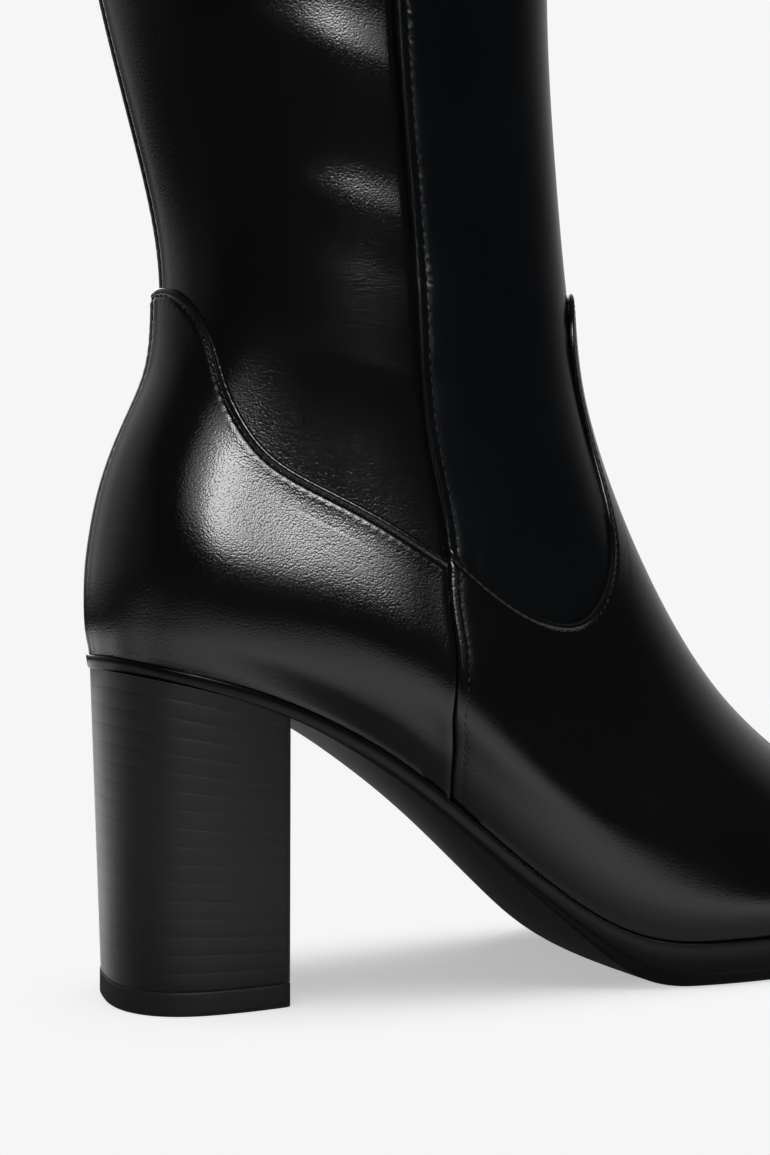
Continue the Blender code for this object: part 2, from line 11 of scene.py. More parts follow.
import bpy
import numpy as np
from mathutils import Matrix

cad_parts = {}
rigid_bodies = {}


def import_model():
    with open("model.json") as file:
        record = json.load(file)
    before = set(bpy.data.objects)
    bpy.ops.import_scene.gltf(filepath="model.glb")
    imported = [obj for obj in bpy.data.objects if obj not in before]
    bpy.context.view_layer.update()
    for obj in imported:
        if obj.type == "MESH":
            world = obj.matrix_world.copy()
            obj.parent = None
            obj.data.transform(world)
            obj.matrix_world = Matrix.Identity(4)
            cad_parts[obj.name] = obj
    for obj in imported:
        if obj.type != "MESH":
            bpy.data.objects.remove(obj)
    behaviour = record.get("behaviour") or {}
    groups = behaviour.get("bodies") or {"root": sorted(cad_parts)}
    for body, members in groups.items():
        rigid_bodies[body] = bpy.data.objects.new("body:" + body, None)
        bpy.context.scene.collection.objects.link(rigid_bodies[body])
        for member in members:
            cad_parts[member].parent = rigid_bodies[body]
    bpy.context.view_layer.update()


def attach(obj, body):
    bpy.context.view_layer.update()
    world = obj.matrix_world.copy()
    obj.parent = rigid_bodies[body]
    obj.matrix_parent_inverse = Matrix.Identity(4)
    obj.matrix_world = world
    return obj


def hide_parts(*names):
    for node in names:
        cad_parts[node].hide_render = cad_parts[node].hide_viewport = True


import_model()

# %% [markdown]
# ## Camera
# The boot is seen from its outer side, a little from the back, by a level camera at the height of the
# instep. A level camera keeps the heel's sides upright, so the boot stands true in the picture.

# %% Camera
CAMERA_PLACE = (-0.09395, -0.40988, 0.1075)
CAMERA_TURN = math.radians(-20)
camera_data = bpy.data.cameras.new("camera")
camera_data.lens = 50
camera_data.sensor_width = 36
camera_data.clip_end = 100
camera = bpy.data.objects.new("camera", camera_data)
camera.location = CAMERA_PLACE
camera.rotation_euler = (math.radians(90), 0, CAMERA_TURN)
bpy.context.scene.collection.objects.link(camera)
bpy.context.scene.camera = camera
bpy.context.scene.view_settings.view_transform = "Standard"
bpy.context.scene.view_settings.look = "None"

# %% [markdown]
# ## The boot's sizes
# All lengths are in metres. X runs to the toe, +Z is up and -Y is the outer side. The upper is one smooth
# form. Its rings are numbered by level, from 0 at the feather line, where it meets the sole, over the ankle
# to the collar. Round a ring the turn goes from 0 at the back over the outer side to 0.5 at the front and
# back to 1.

# %% Sizes
HEEL_HEIGHT = 0.0844  # floor to the underside of the seat, at the back
HEEL_DEPTH = 0.0425
HEEL_WIDTH = 0.0518
HEEL_LEAN = 0.0028
HEEL_SPREAD = 0.0006
HEEL_DRAW_IN = 0.0014
HEEL_ROUND_SHARE = 0.62
HEEL_ROUNDNESS = 2.5
TIP_THICKNESS = 0.0060
TIP_REVEAL = 0.0002
FOOT_LENGTH = 0.2360
BALL_WIDTH = 0.0810
FOOT_BEHIND_HEEL = 0.0016
ANKLE_RISE = 0.0990
ANKLE_DEPTH = 0.1135
ANKLE_WIDTH = 0.0630
SHAFT_HEIGHT = 0.2730
CALF_DEPTH = 0.1375
CALF_WIDTH = 0.0940
SHAFT_LEAN = 0.0080
WALL = 0.0018
OVERLAY = 0.0011
PANEL = 0.0007
GAP = 0.0003
SEAT_THICKNESS = 0.0036
FOREPART_HEIGHT = 0.0120
SOLE_REVEAL = 0.0012
SIDE_LEAN = 0.0004
STEP_INSET = 0.0022
TREAD_BEVEL = 0.0009
WAIST_CROWN = 0.0042
TOE_SPRING = 0.0055
SPRING_FROM = 0.76

FEATHER_COLUMNS = ("along", "up")
FEATHER = (
    (0.00, 1.000), (0.08, 0.948), (0.16, 0.875), (0.24, 0.765), (0.30, 0.655), (0.36, 0.512), (0.42, 0.348),
    (0.48, 0.192), (0.54, 0.070), (0.60, 0.010), (0.68, 0.000), (0.80, 0.000), (1.00, 0.000),
)
FOOT_COLUMNS = (
    "back_in", "back_up", "front", "front_up", "arch", "leg",
    "heel", "seat", "waist", "ball", "toe", "tip",
)
FOOT_LEVELS = (
    (0.000, 0.000, 1.000, 0.030, 1.00, 0.0, 0.667, 0.364, 0.305, 0.494, 0.586, 0.667),
    (-0.070, 0.065, 1.001, 0.070, 0.93, 0.0, 0.675, 0.402, 0.352, 0.526, 0.617, 0.690),
    (-0.090, 0.135, 0.984, 0.126, 0.85, 0.0, 0.679, 0.437, 0.390, 0.530, 0.579, 0.617),
    (-0.078, 0.215, 0.933, 0.175, 0.76, 0.0, 0.675, 0.452, 0.420, 0.516, 0.560, 0.568),
    (-0.014, 0.305, 0.857, 0.240, 0.66, 0.0, 0.654, 0.456, 0.435, 0.491, 0.531, 0.531),
    (0.132, 0.425, 0.762, 0.349, 0.52, 0.2, 0.646, 0.466, 0.459, 0.488, 0.501, 0.491),
    (0.421, 0.565, 0.676, 0.509, 0.36, 0.4, 0.623, 0.467, 0.463, 0.484, 0.483, 0.461),
    (0.779, 0.705, 0.607, 0.697, 0.20, 0.6, 0.570, 0.470, 0.466, 0.480, 0.467, 0.442),
    (0.970, 0.840, 0.568, 0.863, 0.08, 0.8, 0.525, 0.480, 0.486, 0.486, 0.470, 0.450),
    (1.000, 1.000, 0.552, 1.000, 0.00, 1.0, 0.515, 0.500, 0.500, 0.500, 0.500, 0.495),
)
SHAFT_COLUMNS = ("up", "lean", "deep", "wide")
SHAFT_LEVELS = (
    (0.092, 0.400, 0.050, 0.03),
    (0.253, 0.850, 0.375, 0.30),
    (0.450, 0.950, 0.740, 0.62),
    (0.707, 1.000, 0.970, 0.90),
    (1.000, 0.860, 1.000, 1.00),
)
SWING = (0.000, -0.007, -0.057, -0.016, -0.028, 0.050)
SWING_KEPT = (1.0, 0.95, 0.9, 0.8, 0.7, 0.5, 0.3, 0.15, 0.05, 0.0)
SEAM_COLUMNS = ("level", "along")
SIDE_SEAM = (
    (0.0, 0.366), (1.6, 0.366), (3.0, 0.383), (4.3, 0.423), (5.0, 0.452), (5.6, 0.472), (6.2, 0.495),
    (7.0, 0.491), (8.0, 0.489), (9.0, 0.491), (10.0, 0.501), (11.0, 0.522), (14.0, 0.550),
)
EDGE_COLUMNS = ("turn", "level")
COUNTER_EDGE = (
    (0.00, 5.96), (0.12, 5.99), (0.30, 6.00), (0.40, 6.15), (0.48, 6.52), (0.55, 7.05), (0.61, 7.70),
    (0.70, 8.27), (0.81, 8.59), (1.00, 8.70),
)
VAMP_EDGE = (
    (0.00, 6.12), (0.10, 5.88), (0.25, 5.69), (0.36, 5.88), (0.51, 6.31), (0.63, 6.78), (0.69, 7.40),
    (0.70, 8.00), (0.72, 8.50), (0.78, 8.80), (0.87, 8.97), (1.00, 9.02),
)
EDGE_STRETCH = 6.0
SOLE_COLUMNS = ("along", "wall", "below", "crown")
SOLE = (
    (0.00, 0.00, 0.00, 0.00), (0.21, 0.02, 0.02, 0.00), (0.27, 0.04, 0.11, 0.50), (0.36, 0.07, 0.18, 0.90),
    (0.46, 0.08, 0.32, 1.00), (0.52, 0.18, 0.59, 0.85), (0.55, 0.31, 0.85, 0.60), (0.58, 0.44, 1.04, 0.30),
    (0.62, 0.54, 1.11, 0.00), (0.80, 0.55, 1.08, 0.00), (1.00, 0.54, 1.04, 0.00),
)
BACK_X = -HEEL_DEPTH / 2 - FOOT_BEHIND_HEEL
SEAT_Z = HEEL_HEIGHT + SEAT_THICKNESS
ANKLE_Z = SEAT_Z + ANKLE_RISE
COLLAR_Z = ANKLE_Z + SHAFT_HEIGHT
ANKLE_LEVEL = len(FOOT_LEVELS) - 1
TOP_LEVEL = ANKLE_LEVEL + len(SHAFT_LEVELS)
STATIONS = np.linspace(0, 1, len(SWING))
MM = 0.001

# %% [markdown]
# ## Smooth curves through few points
# A last maker draws a curve with a bent batten held at a few pins. A cubic spline is that batten in
# numbers: it passes through every point of a table and stays smooth between them.

# %% Spline helpers
def column(table, names, name):
    """One named column of a table."""
    return np.array(table, float)[:, names.index(name)]


def spline_slopes(x, y):
    """Slopes of the smooth cubic through the points, level in bend at both ends. y may have many columns."""
    step = np.diff(x)
    count = len(x)
    matrix = np.zeros((count, count))
    right = np.zeros_like(y)
    rise = np.diff(y, axis=0) / step[:, None]
    for i in range(1, count - 1):
        matrix[i, i - 1] = 1 / step[i - 1]
        matrix[i, i] = 2 / step[i - 1] + 2 / step[i]
        matrix[i, i + 1] = 1 / step[i]
        right[i] = 3 * (rise[i - 1] / step[i - 1] + rise[i] / step[i])
    matrix[0, :2] = 2, 1
    matrix[-1, -2:] = 1, 2
    right[0] = 3 * rise[0]
    right[-1] = 3 * rise[-1]
    return np.linalg.solve(matrix, right)


def smooth(x, y, at):
    """The smooth cubic through the points (x, y), read at the values at."""
    x = np.asarray(x, float)
    y = np.asarray(y, float)
    flat = y.ndim == 1
    if flat:
        y = y[:, None]
    slopes = spline_slopes(x, y)
    at = np.clip(np.asarray(at, float), x[0], x[-1])
    place = np.clip(np.searchsorted(x, at, side="right") - 1, 0, len(x) - 2)
    step = (x[place + 1] - x[place])[..., None]
    t = (at[..., None] - x[place][..., None]) / step
    first = y[place] * (1 + 2 * t) * (1 - t) ** 2 + slopes[place] * step * t * (1 - t) ** 2
    last = y[place + 1] * t**2 * (3 - 2 * t) - slopes[place + 1] * step * t**2 * (1 - t)
    return (first + last)[..., 0] if flat else first + last


def ease(x):
    """0 below 0, 1 above 1, smooth between."""
    x = np.clip(x, 0, 1)
    return x * x * (3 - 2 * x)


def bump(x, middle, width):
    """A soft bell of height 1 round the middle: e to the power of minus the squared distance in widths."""
    return np.exp(-(((x - middle) / width) ** 2))


def read_column(table, names, name, at):
    """A named column of a table, read at places along its first column."""
    return smooth(column(table, names, names[0]), column(table, names, name), at)


def unit(vectors):
    """Vectors of length 1 in the same directions."""
    return vectors / np.linalg.norm(vectors, axis=-1, keepdims=True)


def directions(points):
    """Unit vectors along a row of points."""
    return unit(np.gradient(points, axis=0))


# %% [markdown]
# ## The form of the upper
# The shell is a stack of rings that lean and lengthen from the foot to the shaft. One function gives the
# point at any turn and level, so every seam, fold and stitch can be placed on the leather itself.

# %% Form functions
def feather_z(x):
    """Height of the feather line at x. The toe springs up past the tread."""
    along = np.clip((x - BACK_X) / FOOT_LENGTH, 0, 1)
    rise = SEAT_Z - FOREPART_HEIGHT
    up = read_column(FEATHER, FEATHER_COLUMNS, "up", along)
    spring = np.clip((along - SPRING_FROM) / (1 - SPRING_FROM), 0, 1) ** 2
    return FOREPART_HEIGHT + rise * up + TOE_SPRING * spring


def level_rows():
    """Back, front, arch and half widths of every level, one row each."""
    foot = {name: column(FOOT_LEVELS, FOOT_COLUMNS, name) for name in FOOT_COLUMNS}
    shaft = {name: column(SHAFT_LEVELS, SHAFT_COLUMNS, name) for name in SHAFT_COLUMNS}
    front_x = BACK_X + foot["front"] * FOOT_LENGTH
    ankle_back = front_x[-1] - ANKLE_DEPTH
    back_x = BACK_X + foot["back_in"] * (ankle_back - BACK_X)
    back_z = SEAT_Z + foot["back_up"] * ANKLE_RISE
    front_z = FOREPART_HEIGHT + foot["front_up"] * (ANKLE_Z - FOREPART_HEIGHT)
    base = BALL_WIDTH + foot["leg"] * (ANKLE_WIDTH - BALL_WIDTH)
    widths = np.stack([foot[n] * base for n in FOOT_COLUMNS[6:]], axis=1)
    shin_x = front_x[-1] - shaft["lean"] * SHAFT_LEAN
    calf_x = shin_x - (ANKLE_DEPTH + shaft["deep"] * (CALF_DEPTH - ANKLE_DEPTH))
    shaft_z = ANKLE_Z + shaft["up"] * SHAFT_HEIGHT
    half = (ANKLE_WIDTH + shaft["wide"] * (CALF_WIDTH - ANKLE_WIDTH)) / 2
    shaft_rows = np.column_stack(
        [calf_x, shaft_z, shin_x, shaft_z, np.zeros(len(half)), np.repeat(half[:, None], len(STATIONS), 1)]
    )
    foot_rows = np.column_stack([back_x, back_z, front_x, front_z, foot["arch"], widths])
    swing = np.outer(np.append(SWING_KEPT, np.zeros(len(half))), SWING) * BALL_WIDTH
    return np.column_stack([np.vstack([foot_rows, shaft_rows]), swing])


ROWS = level_rows()
LEVELS = np.arange(TOP_LEVEL + 1.0)


def shell(turn, level):
    """Points of the shell's outer face: a ring from back to front, as wide as its row says."""
    row = smooth(LEVELS, ROWS, level)
    back_x, back_z, front_x, front_z, arch = np.moveaxis(row[..., :5], -1, 0)
    angle = 2 * math.pi * turn
    along = (1 - np.cos(angle)) / 2
    weights = smooth(STATIONS, np.eye(len(STATIONS)), along)
    half = (row[..., 5 : 5 + len(STATIONS)] * weights).sum(-1)
    swing = (row[..., 5 + len(STATIONS) :] * weights).sum(-1)
    first_x = BACK_X + along * FOOT_LENGTH
    chord = ROWS[0, 1] + along * (ROWS[0, 3] - ROWS[0, 1])
    x = back_x + along * (front_x - back_x)
    y = swing - half * np.sin(angle)
    z = back_z + along * (front_z - back_z) + arch * (feather_z(first_x) - chord)
    return np.stack([x, y, z], axis=-1)


def slopes_of(turn, level):
    """How the shell moves with turn and with level."""
    small = 1e-4
    level = np.clip(level, 0, TOP_LEVEL)
    below = np.clip(level - small, 0, TOP_LEVEL)
    above = np.clip(level + small, 0, TOP_LEVEL)
    by_turn = (shell(turn + small, level) - shell(turn - small, level)) / (2 * small)
    by_level = (shell(turn, above) - shell(turn, below)) / (above - below)[..., None]
    return by_turn, by_level


def outward(turn, level):
    """Unit vectors out of the shell. They lie level at the feather line, where the sole's face is."""
    out = unit(np.cross(*slopes_of(turn, level)))
    out[..., 2] *= ease(level / 2)
    return unit(out)


def form(turn, level, distance):
    """The shell's outer face moved out by a distance, its foot kept on the feather line."""
    turn, level, distance = np.broadcast_arrays(
        np.asarray(turn, float), np.asarray(level, float), np.asarray(distance, float)
    )
    start = shell(turn, level)
    moved = start + distance[..., None] * outward(turn, level)
    foot = 1 - ease(level / 2)
    moved[..., 2] += foot * (feather_z(moved[..., 0]) - feather_z(start[..., 0]))
    return moved


def turn_of(along):
    """Turn on the outer side of the point at that share of a ring's length."""
    return np.arccos(1 - 2 * np.asarray(along)) / (2 * math.pi)


def seam_turn(level):
    """Turn of the outer side seam."""
    return turn_of(read_column(SIDE_SEAM, SEAM_COLUMNS, "along", level))


def walked(points):
    """Length walked along a row of points up to each of them."""
    return np.append(0, np.cumsum(np.linalg.norm(np.diff(points, axis=0), axis=1)))


print("collar at", round(COLLAR_Z, 4), "ankle at", round(ANKLE_Z, 4))

# %% [markdown]
# ## Meshes from grids
# Most skins are grids of points. Their four-cornered faces need only the corner numbers, which follow from
# the grid's rows and columns, so the whole mesh is filled in one go.

# %% Grid helpers
def grid_faces(rows, columns, closed=False, start=0):
    """Corner numbers of a grid's faces, turned outwards where columns follow the turn and rows the level."""
    i = np.arange(rows - 1)[:, None]
    j = np.arange(columns if closed else columns - 1)[None, :]
    k = (j + 1) % columns
    corners = np.stack([i * columns + j, i * columns + k, (i + 1) * columns + k, (i + 1) * columns + j], -1)
    return start + corners.reshape(-1, 4)


def make_piece(name, parts, material, slot, *nodes):
    """A smooth-shaded piece from (points, faces) pairs, riding on the boot. nodes: solids it stands for."""
    points = []
    faces = []
    count = 0
    for part_points, part_faces in parts:
        points.append(part_points.reshape(-1, 3))
        faces.append(part_faces + count)
        count += len(points[-1])
    points = np.vstack(points)
    faces = np.vstack(faces)
    used = np.zeros(len(points), bool)
    used[faces.ravel()] = True
    renumber = np.cumsum(used) - 1
    points = points[used]
    faces = renumber[faces]
    mesh = bpy.data.meshes.new(name)
    mesh.vertices.add(len(points))
    mesh.vertices.foreach_set("co", points.astype(np.float32).ravel())
    mesh.loops.add(faces.size)
    mesh.loops.foreach_set("vertex_index", faces.astype(np.int32).ravel())
    mesh.polygons.add(len(faces))
    mesh.polygons.foreach_set("loop_start", np.arange(0, faces.size, 4, dtype=np.int32))
    mesh.update(calc_edges=True)
    mesh.validate()
    mesh.shade_smooth()
    mesh.materials.append(material)
    piece = bpy.data.objects.new(name, mesh)
    bpy.context.scene.collection.objects.link(piece)
    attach(piece, "root")
    if nodes:
        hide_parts(*nodes)
    print(name, len(faces) * 2, "triangles")
    return piece


# %% [markdown]
# ## Grain of the leather
# Coated leather is pressed with a fine pebble: soft domes about half a millimetre wide with shallow dips
# between them. A node group gives the height of that pebble and a slow change of tone, and each leather
# puts in its own depth.

# %% Node helpers and grain
def new_group(name, inputs, outputs):
    """A shader node group with sockets from (name, type, value) rows."""
    group = bpy.data.node_groups.new(name, "ShaderNodeTree")
    for label, kind, value in inputs:
        socket = group.interface.new_socket(label, in_out="INPUT", socket_type=kind)
        if value is not None:
            socket.default_value = value
    for label, kind in outputs:
        group.interface.new_socket(label, in_out="OUTPUT", socket_type=kind)
    return group


def add_node(tree, kind, sockets=(), **settings):
    """A node with its settings. sockets: (name, value) pairs, where a value may be another node's socket."""
    node = tree.nodes.new(kind)
    for key, value in settings.items():
        setattr(node, key, value)
    for key, value in sockets:
        if isinstance(value, bpy.types.NodeSocket):
            tree.links.new(value, node.inputs[key])
        else:
            node.inputs[key].default_value = value
    return node


def math_node(tree, operation, first, second=0.0):
    """A Math node. Each of its two values is a number or a socket."""
    return add_node(tree, "ShaderNodeMath", ((0, first), (1, second)), operation=operation).outputs[0]


def noise(tree, place, scale, detail=2):
    """Cloudy noise with that many clouds to the metre, finer ones added by detail."""
    return add_node(tree, "ShaderNodeTexNoise", (("Vector", place), ("Scale", scale), ("Detail", detail)))


def remap(tree, value, start, end=(0.0, 1.0), kind="LINEAR"):
    """The value carried from the range start to the range end."""
    names = ("Value", "From Min", "From Max", "To Min", "To Max")
    sockets = zip(names, (value, *start, *end))
    return add_node(tree, "ShaderNodeMapRange", sockets, interpolation_type=kind).outputs[0]


WOBBLE = 0.0003  # how far the pebble's cells are pushed about
FINE_SHARE = 0.12  # height of the finest grain against the pebble's

grain = new_group(
    "leather_grain",
    (("Place", "NodeSocketVector", None), ("Cells", "NodeSocketFloat", 2000.0)),
    (("Height", "NodeSocketFloat"), ("Tone", "NodeSocketFloat")),
)
g_in = add_node(grain, "NodeGroupInput")
spot = g_in.outputs["Place"]
wobble = noise(grain, spot, 1700).outputs["Color"]
pushed = ((0, wobble), (1, (WOBBLE,) * 3), (2, spot))
shift = add_node(grain, "ShaderNodeVectorMath", pushed, operation="MULTIPLY_ADD").outputs[0]
cells = add_node(grain, "ShaderNodeTexVoronoi", (("Vector", shift), ("Scale", g_in.outputs["Cells"])))
height = math_node(grain, "SUBTRACT", 1.0, math_node(grain, "POWER", cells.outputs["Distance"], 2.0))
fine = math_node(grain, "MULTIPLY", noise(grain, spot, 3000, 1).outputs["Fac"], FINE_SHARE)
slow = noise(grain, spot, 60, 4).outputs["Fac"]
add_node(grain, "NodeGroupOutput", (("Height", math_node(grain, "ADD", height, fine)), ("Tone", slow)))


# %% [markdown]
# ## Leather
# The finish is satin over near-black dye. Roughness wanders a little with the tone, and the pebble goes in
# as bump, about three hundredths of a millimetre deep. The front panel is a smoother, stretchier sheet, so
# it has the same recipe with less grain.

# %% Leather materials
def start_material(name, settings):
    """A new material with values set on its shader: material, tree, shader and the place on the piece."""
    made = bpy.data.materials.new(name)
    made.use_nodes = True
    shader = made.node_tree.nodes["Principled BSDF"]
    for key, value in settings:
        shader.inputs[key].default_value = value
    place = add_node(made.node_tree, "ShaderNodeTexCoord").outputs["Object"]
    return made, made.node_tree, shader, place


def raise_by(tree, shader, height, distance):
    """Bump on a shader: the height, between 0 and 1, times a distance in metres."""
    raised = add_node(tree, "ShaderNodeBump", (("Height", height), ("Distance", distance)))
    tree.links.new(raised.outputs[0], shader.inputs["Normal"])


def leather(name, colour, dull, depth, cells):
    """Near-black coated leather. dull: roughness between these two. depth: of the grain, in metres."""
    made, tree, shader, place = start_material(name, (("Base Color", (*colour, 1)),))
    skin_grain = add_node(tree, "ShaderNodeGroup", (("Place", place), ("Cells", cells)), node_tree=grain)
    tree.links.new(remap(tree, skin_grain.outputs["Tone"], (0.3, 0.7), dull), shader.inputs["Roughness"])
    raise_by(tree, shader, skin_grain.outputs["Height"], depth)
    made.diffuse_color = (*colour, 1)
    return made


LEATHER = leather("black_leather", (0.0088, 0.0092, 0.0094), (0.135, 0.175), 0.000027, 2000)
PANEL_LEATHER = leather("front_panel_leather", (0.0072, 0.0083, 0.0098), (0.20, 0.26), 0.000006, 1750)
print("leathers", LEATHER.name, PANEL_LEATHER.name)

# %% [markdown]
# ## The side seam on the leather
# Folds, stitches and rolled edges are all placed by their distance from a seam, measured on the leather.
# Near the seam that distance is the step in turn, times the length of ring per turn, times the sine of the
# angle between ring and seam.

# %% Seam measure
SEAM_LINE = np.linspace(0, TOP_LEVEL, 1401)
seam_points = shell(seam_turn(SEAM_LINE), SEAM_LINE)
SEAM_WALKED = walked(seam_points)
seam_by_turn, seam_by_level = slopes_of(seam_turn(SEAM_LINE), SEAM_LINE)
seam_slope = np.gradient(seam_turn(SEAM_LINE), SEAM_LINE)
seam_way = seam_by_level + seam_slope[:, None] * seam_by_turn
SEAM_SCALE = np.linalg.norm(np.cross(seam_by_turn, seam_way), axis=1) / np.linalg.norm(seam_way, axis=1)


def seam_distance(turn, level):
    """Distance in front of the nearer side seam, negative behind it, and the length walked up the seam."""
    half_turn = np.abs((turn + 0.5) % 1.0 - 0.5)
    scale = np.interp(level, SEAM_LINE, SEAM_SCALE)
    return (half_turn - seam_turn(level)) * scale, np.interp(level, SEAM_LINE, SEAM_WALKED)


def beside_seam(levels, distance):
    """Turns and levels of a grid beside the outer side seam: rows by level, columns by distance before it."""
    turns = seam_turn(levels)[:, None] + distance[None] / np.interp(levels, SEAM_LINE, SEAM_SCALE)[:, None]
    return turns, np.repeat(levels[:, None], len(distance), 1)


def skin(turns, levels, height, way=1):
    """Points and faces of a grid, a height over the shell. way: -1 where the turn runs backwards."""
    return form(turns, levels, height), grid_faces(*turns.shape)[:, ::way]


print("side seam is", round(SEAM_WALKED[-1] * 1000), "mm long")

# %% [markdown]
# ## Profiles of edges and seams
# A folded edge is a small round roll with a sunk stitch line behind it. Each profile below is a curve of
# height over distance from the edge, in millimetres, that a maker could draw on squared paper.

# %% Profiles in millimetres
TOP_EDGE = (
    (0.00, -0.62), (0.07, -0.34), (0.22, -0.08), (0.45, 0.12), (0.80, 0.24), (1.20, 0.20), (1.60, 0.00),
    (1.85, -0.20), (2.05, -0.32), (2.30, -0.20), (2.70, -0.02), (3.20, 0.07), (4.20, 0.06), (5.40, 0.02),
    (6.60, 0.00),
)
VAMP_TOP_EDGE = (
    (0.00, -0.62), (0.07, -0.38), (0.20, -0.15), (0.40, -0.03), (0.80, 0.05), (1.20, 0.04), (1.60, -0.04),
    (1.85, -0.16), (2.05, -0.25), (2.30, -0.16), (2.70, -0.02), (3.20, 0.04), (4.20, 0.03), (5.40, 0.01),
    (6.60, 0.00),
)
EDGE_UNDERSIDE = ((2.0, -1.46), (0.9, -1.44), (0.3, -1.28), (0.06, -1.02), (0.0, -0.82))
PANEL_SEAM = (
    (0.00, -0.85), (0.08, -0.48), (0.22, -0.16), (0.50, 0.04), (0.95, 0.13), (1.40, 0.09), (1.90, -0.05),
    (2.40, -0.14), (2.70, -0.18), (3.00, -0.13), (3.50, -0.03), (4.50, 0.03), (5.60, 0.02), (6.80, 0.00),
)
VAMP_SEAM = (
    (0.00, -1.40), (0.12, -1.00), (0.35, -0.62), (0.70, -0.38), (1.20, -0.25), (1.80, -0.20), (2.30, -0.18),
    (2.60, -0.19), (2.80, -0.18), (3.10, -0.14), (3.70, -0.07), (4.60, -0.02), (5.60, 0.00), (6.80, 0.00),
)
COUNTER_SEAM = (
    (0.00, -1.40), (0.10, -0.90), (0.30, -0.42), (0.70, -0.06), (1.30, 0.13), (2.20, 0.17), (3.50, 0.10),
    (5.00, 0.03), (6.80, 0.00),
)
STITCH_FROM_EDGE = 2.05 * MM
STITCH_FROM_SEAM = 2.72 * MM
EDGE_PITCH = 2.5 * MM
SEAM_PITCH = 3.0 * MM
LOWER_PITCH = 2.3 * MM


def read_profile(table, distance):
    """Height in metres of a profile at a distance in metres. It runs on level past both its ends."""
    points = np.array(table, float) * MM
    return smooth(points[:, 0], points[:, 1], distance)


def ripple(length, seed, longest, count=5):
    """A wandering line between about -1 and 1: a sum of waves, each shorter and weaker than the last."""
    random = np.random.default_rng(seed)
    total = np.zeros_like(length)
    for k in range(count):
        wave = longest / (1 + 0.6 * k)
        total += np.sin(2 * math.pi * length / wave + random.uniform(0, 2 * math.pi)) / (1 + 0.35 * k)
    return total / 2.2


def sewn(distance, along, line, pitch, strength=1.0):
    """What the thread does to the leather: pits at the needle holes and soft puckers between them."""
    beat = 0.5 + 0.5 * np.cos(2 * math.pi * along / pitch)
    pits = -0.16 * MM * beat**4 * bump(distance, line, 0.34 * MM)
    pucker = 0.045 * MM * (beat - 0.5) * bump(distance, line + 1.1 * MM, 0.9 * MM)
    pucker += 0.035 * MM * (beat - 0.5) * bump(distance, line - 0.9 * MM, 0.6 * MM)
    return strength * (pits + pucker)


# %% [markdown]
# ## Top edges of counter and vamp
# The counter and the vamp end in a curved folded edge that climbs to a rounded tab at the back and at the
# front. Each edge is a curve in turn and level. Distances from it are found from the nearest point of the
# curve.

# %% Edge curves
def edge_curve(table, centre, step):
    """Turn and level along a top edge from the outer seam round to the inner seam, a step apart."""
    share = column(table, EDGE_COLUMNS, "turn")
    level = column(table, EDGE_COLUMNS, "level")
    knots = np.append(0, np.cumsum(np.hypot(np.diff(share) * EDGE_STRETCH, np.diff(level))))
    fine_steps = np.linspace(0, knots[-1], 1600)
    start = float(seam_turn(level[0]))
    turn = start + smooth(knots, share, fine_steps) * (centre - start)
    level = smooth(knots, level, fine_steps)
    turn = np.append(turn, (2 * centre - turn)[-2::-1])
    level = np.append(level, level[-2::-1])
    length = walked(shell(turn, level))
    even = np.linspace(0, length[-1], int(round(length[-1] / step)) + 1)
    return np.interp(even, length, turn), np.interp(even, length, level)


def inward_steps(turn, level, side):
    """Change of turn and level per metre into the piece, square to its edge. side is 1 to the left, -1 to the
    right. Over the last 10 mm the step leans over to the side seam, so that rows end on the seam."""
    by_turn, by_level = slopes_of(turn, level)
    points = shell(turn, level)
    way = directions(points)
    across = side * np.cross(outward(turn, level), way)
    aa = (by_turn * by_turn).sum(-1)
    ab = (by_turn * by_level).sum(-1)
    bb = (by_level * by_level).sum(-1)
    sa = (across * by_turn).sum(-1)
    sb = (across * by_level).sum(-1)
    area = aa * bb - ab * ab
    turn_step = (sa * bb - sb * ab) / area
    level_step = (sb * aa - sa * ab) / area
    length = walked(points)
    for corner, sign, near in ((0, 1, length), (-1, -1, length[-1] - length)):
        slope = float(np.interp(level[corner], SEAM_LINE, seam_slope)) * sign
        down = -(by_level[corner] + slope * by_turn[corner])
        reach = np.linalg.norm(np.cross(way[corner], down))
        weight = 1 - ease(near / (10 * MM))
        turn_step = turn_step * (1 - weight) + weight * (-slope / reach)
        level_step = level_step * (1 - weight) + weight * (-1 / reach)
    return turn_step, level_step


def nearest(points, line, side_way):
    """Distance of points from a line of points, positive on the side that side_way points to, and the length
    walked along the line to the nearest place."""
    length = walked(line)
    way = directions(line)
    flat = points.reshape(-1, 3)
    distance = np.empty(len(flat))
    place = np.empty(len(flat))
    for start in range(0, len(flat), 20000):
        some = flat[start : start + 20000]
        square = (some**2).sum(1)[:, None] + (line**2).sum(1)[None] - 2 * some @ line.T
        k = square.argmin(1)
        step = some - line[k]
        ahead = (step * way[k]).sum(1)
        rest = step - ahead[:, None] * way[k]
        sign = np.sign((step * side_way[k]).sum(1))
        distance[start : start + 20000] = np.linalg.norm(rest, axis=1) * sign
        place[start : start + 20000] = length[k] + ahead
    return distance.reshape(points.shape[:-1]), place.reshape(points.shape[:-1])


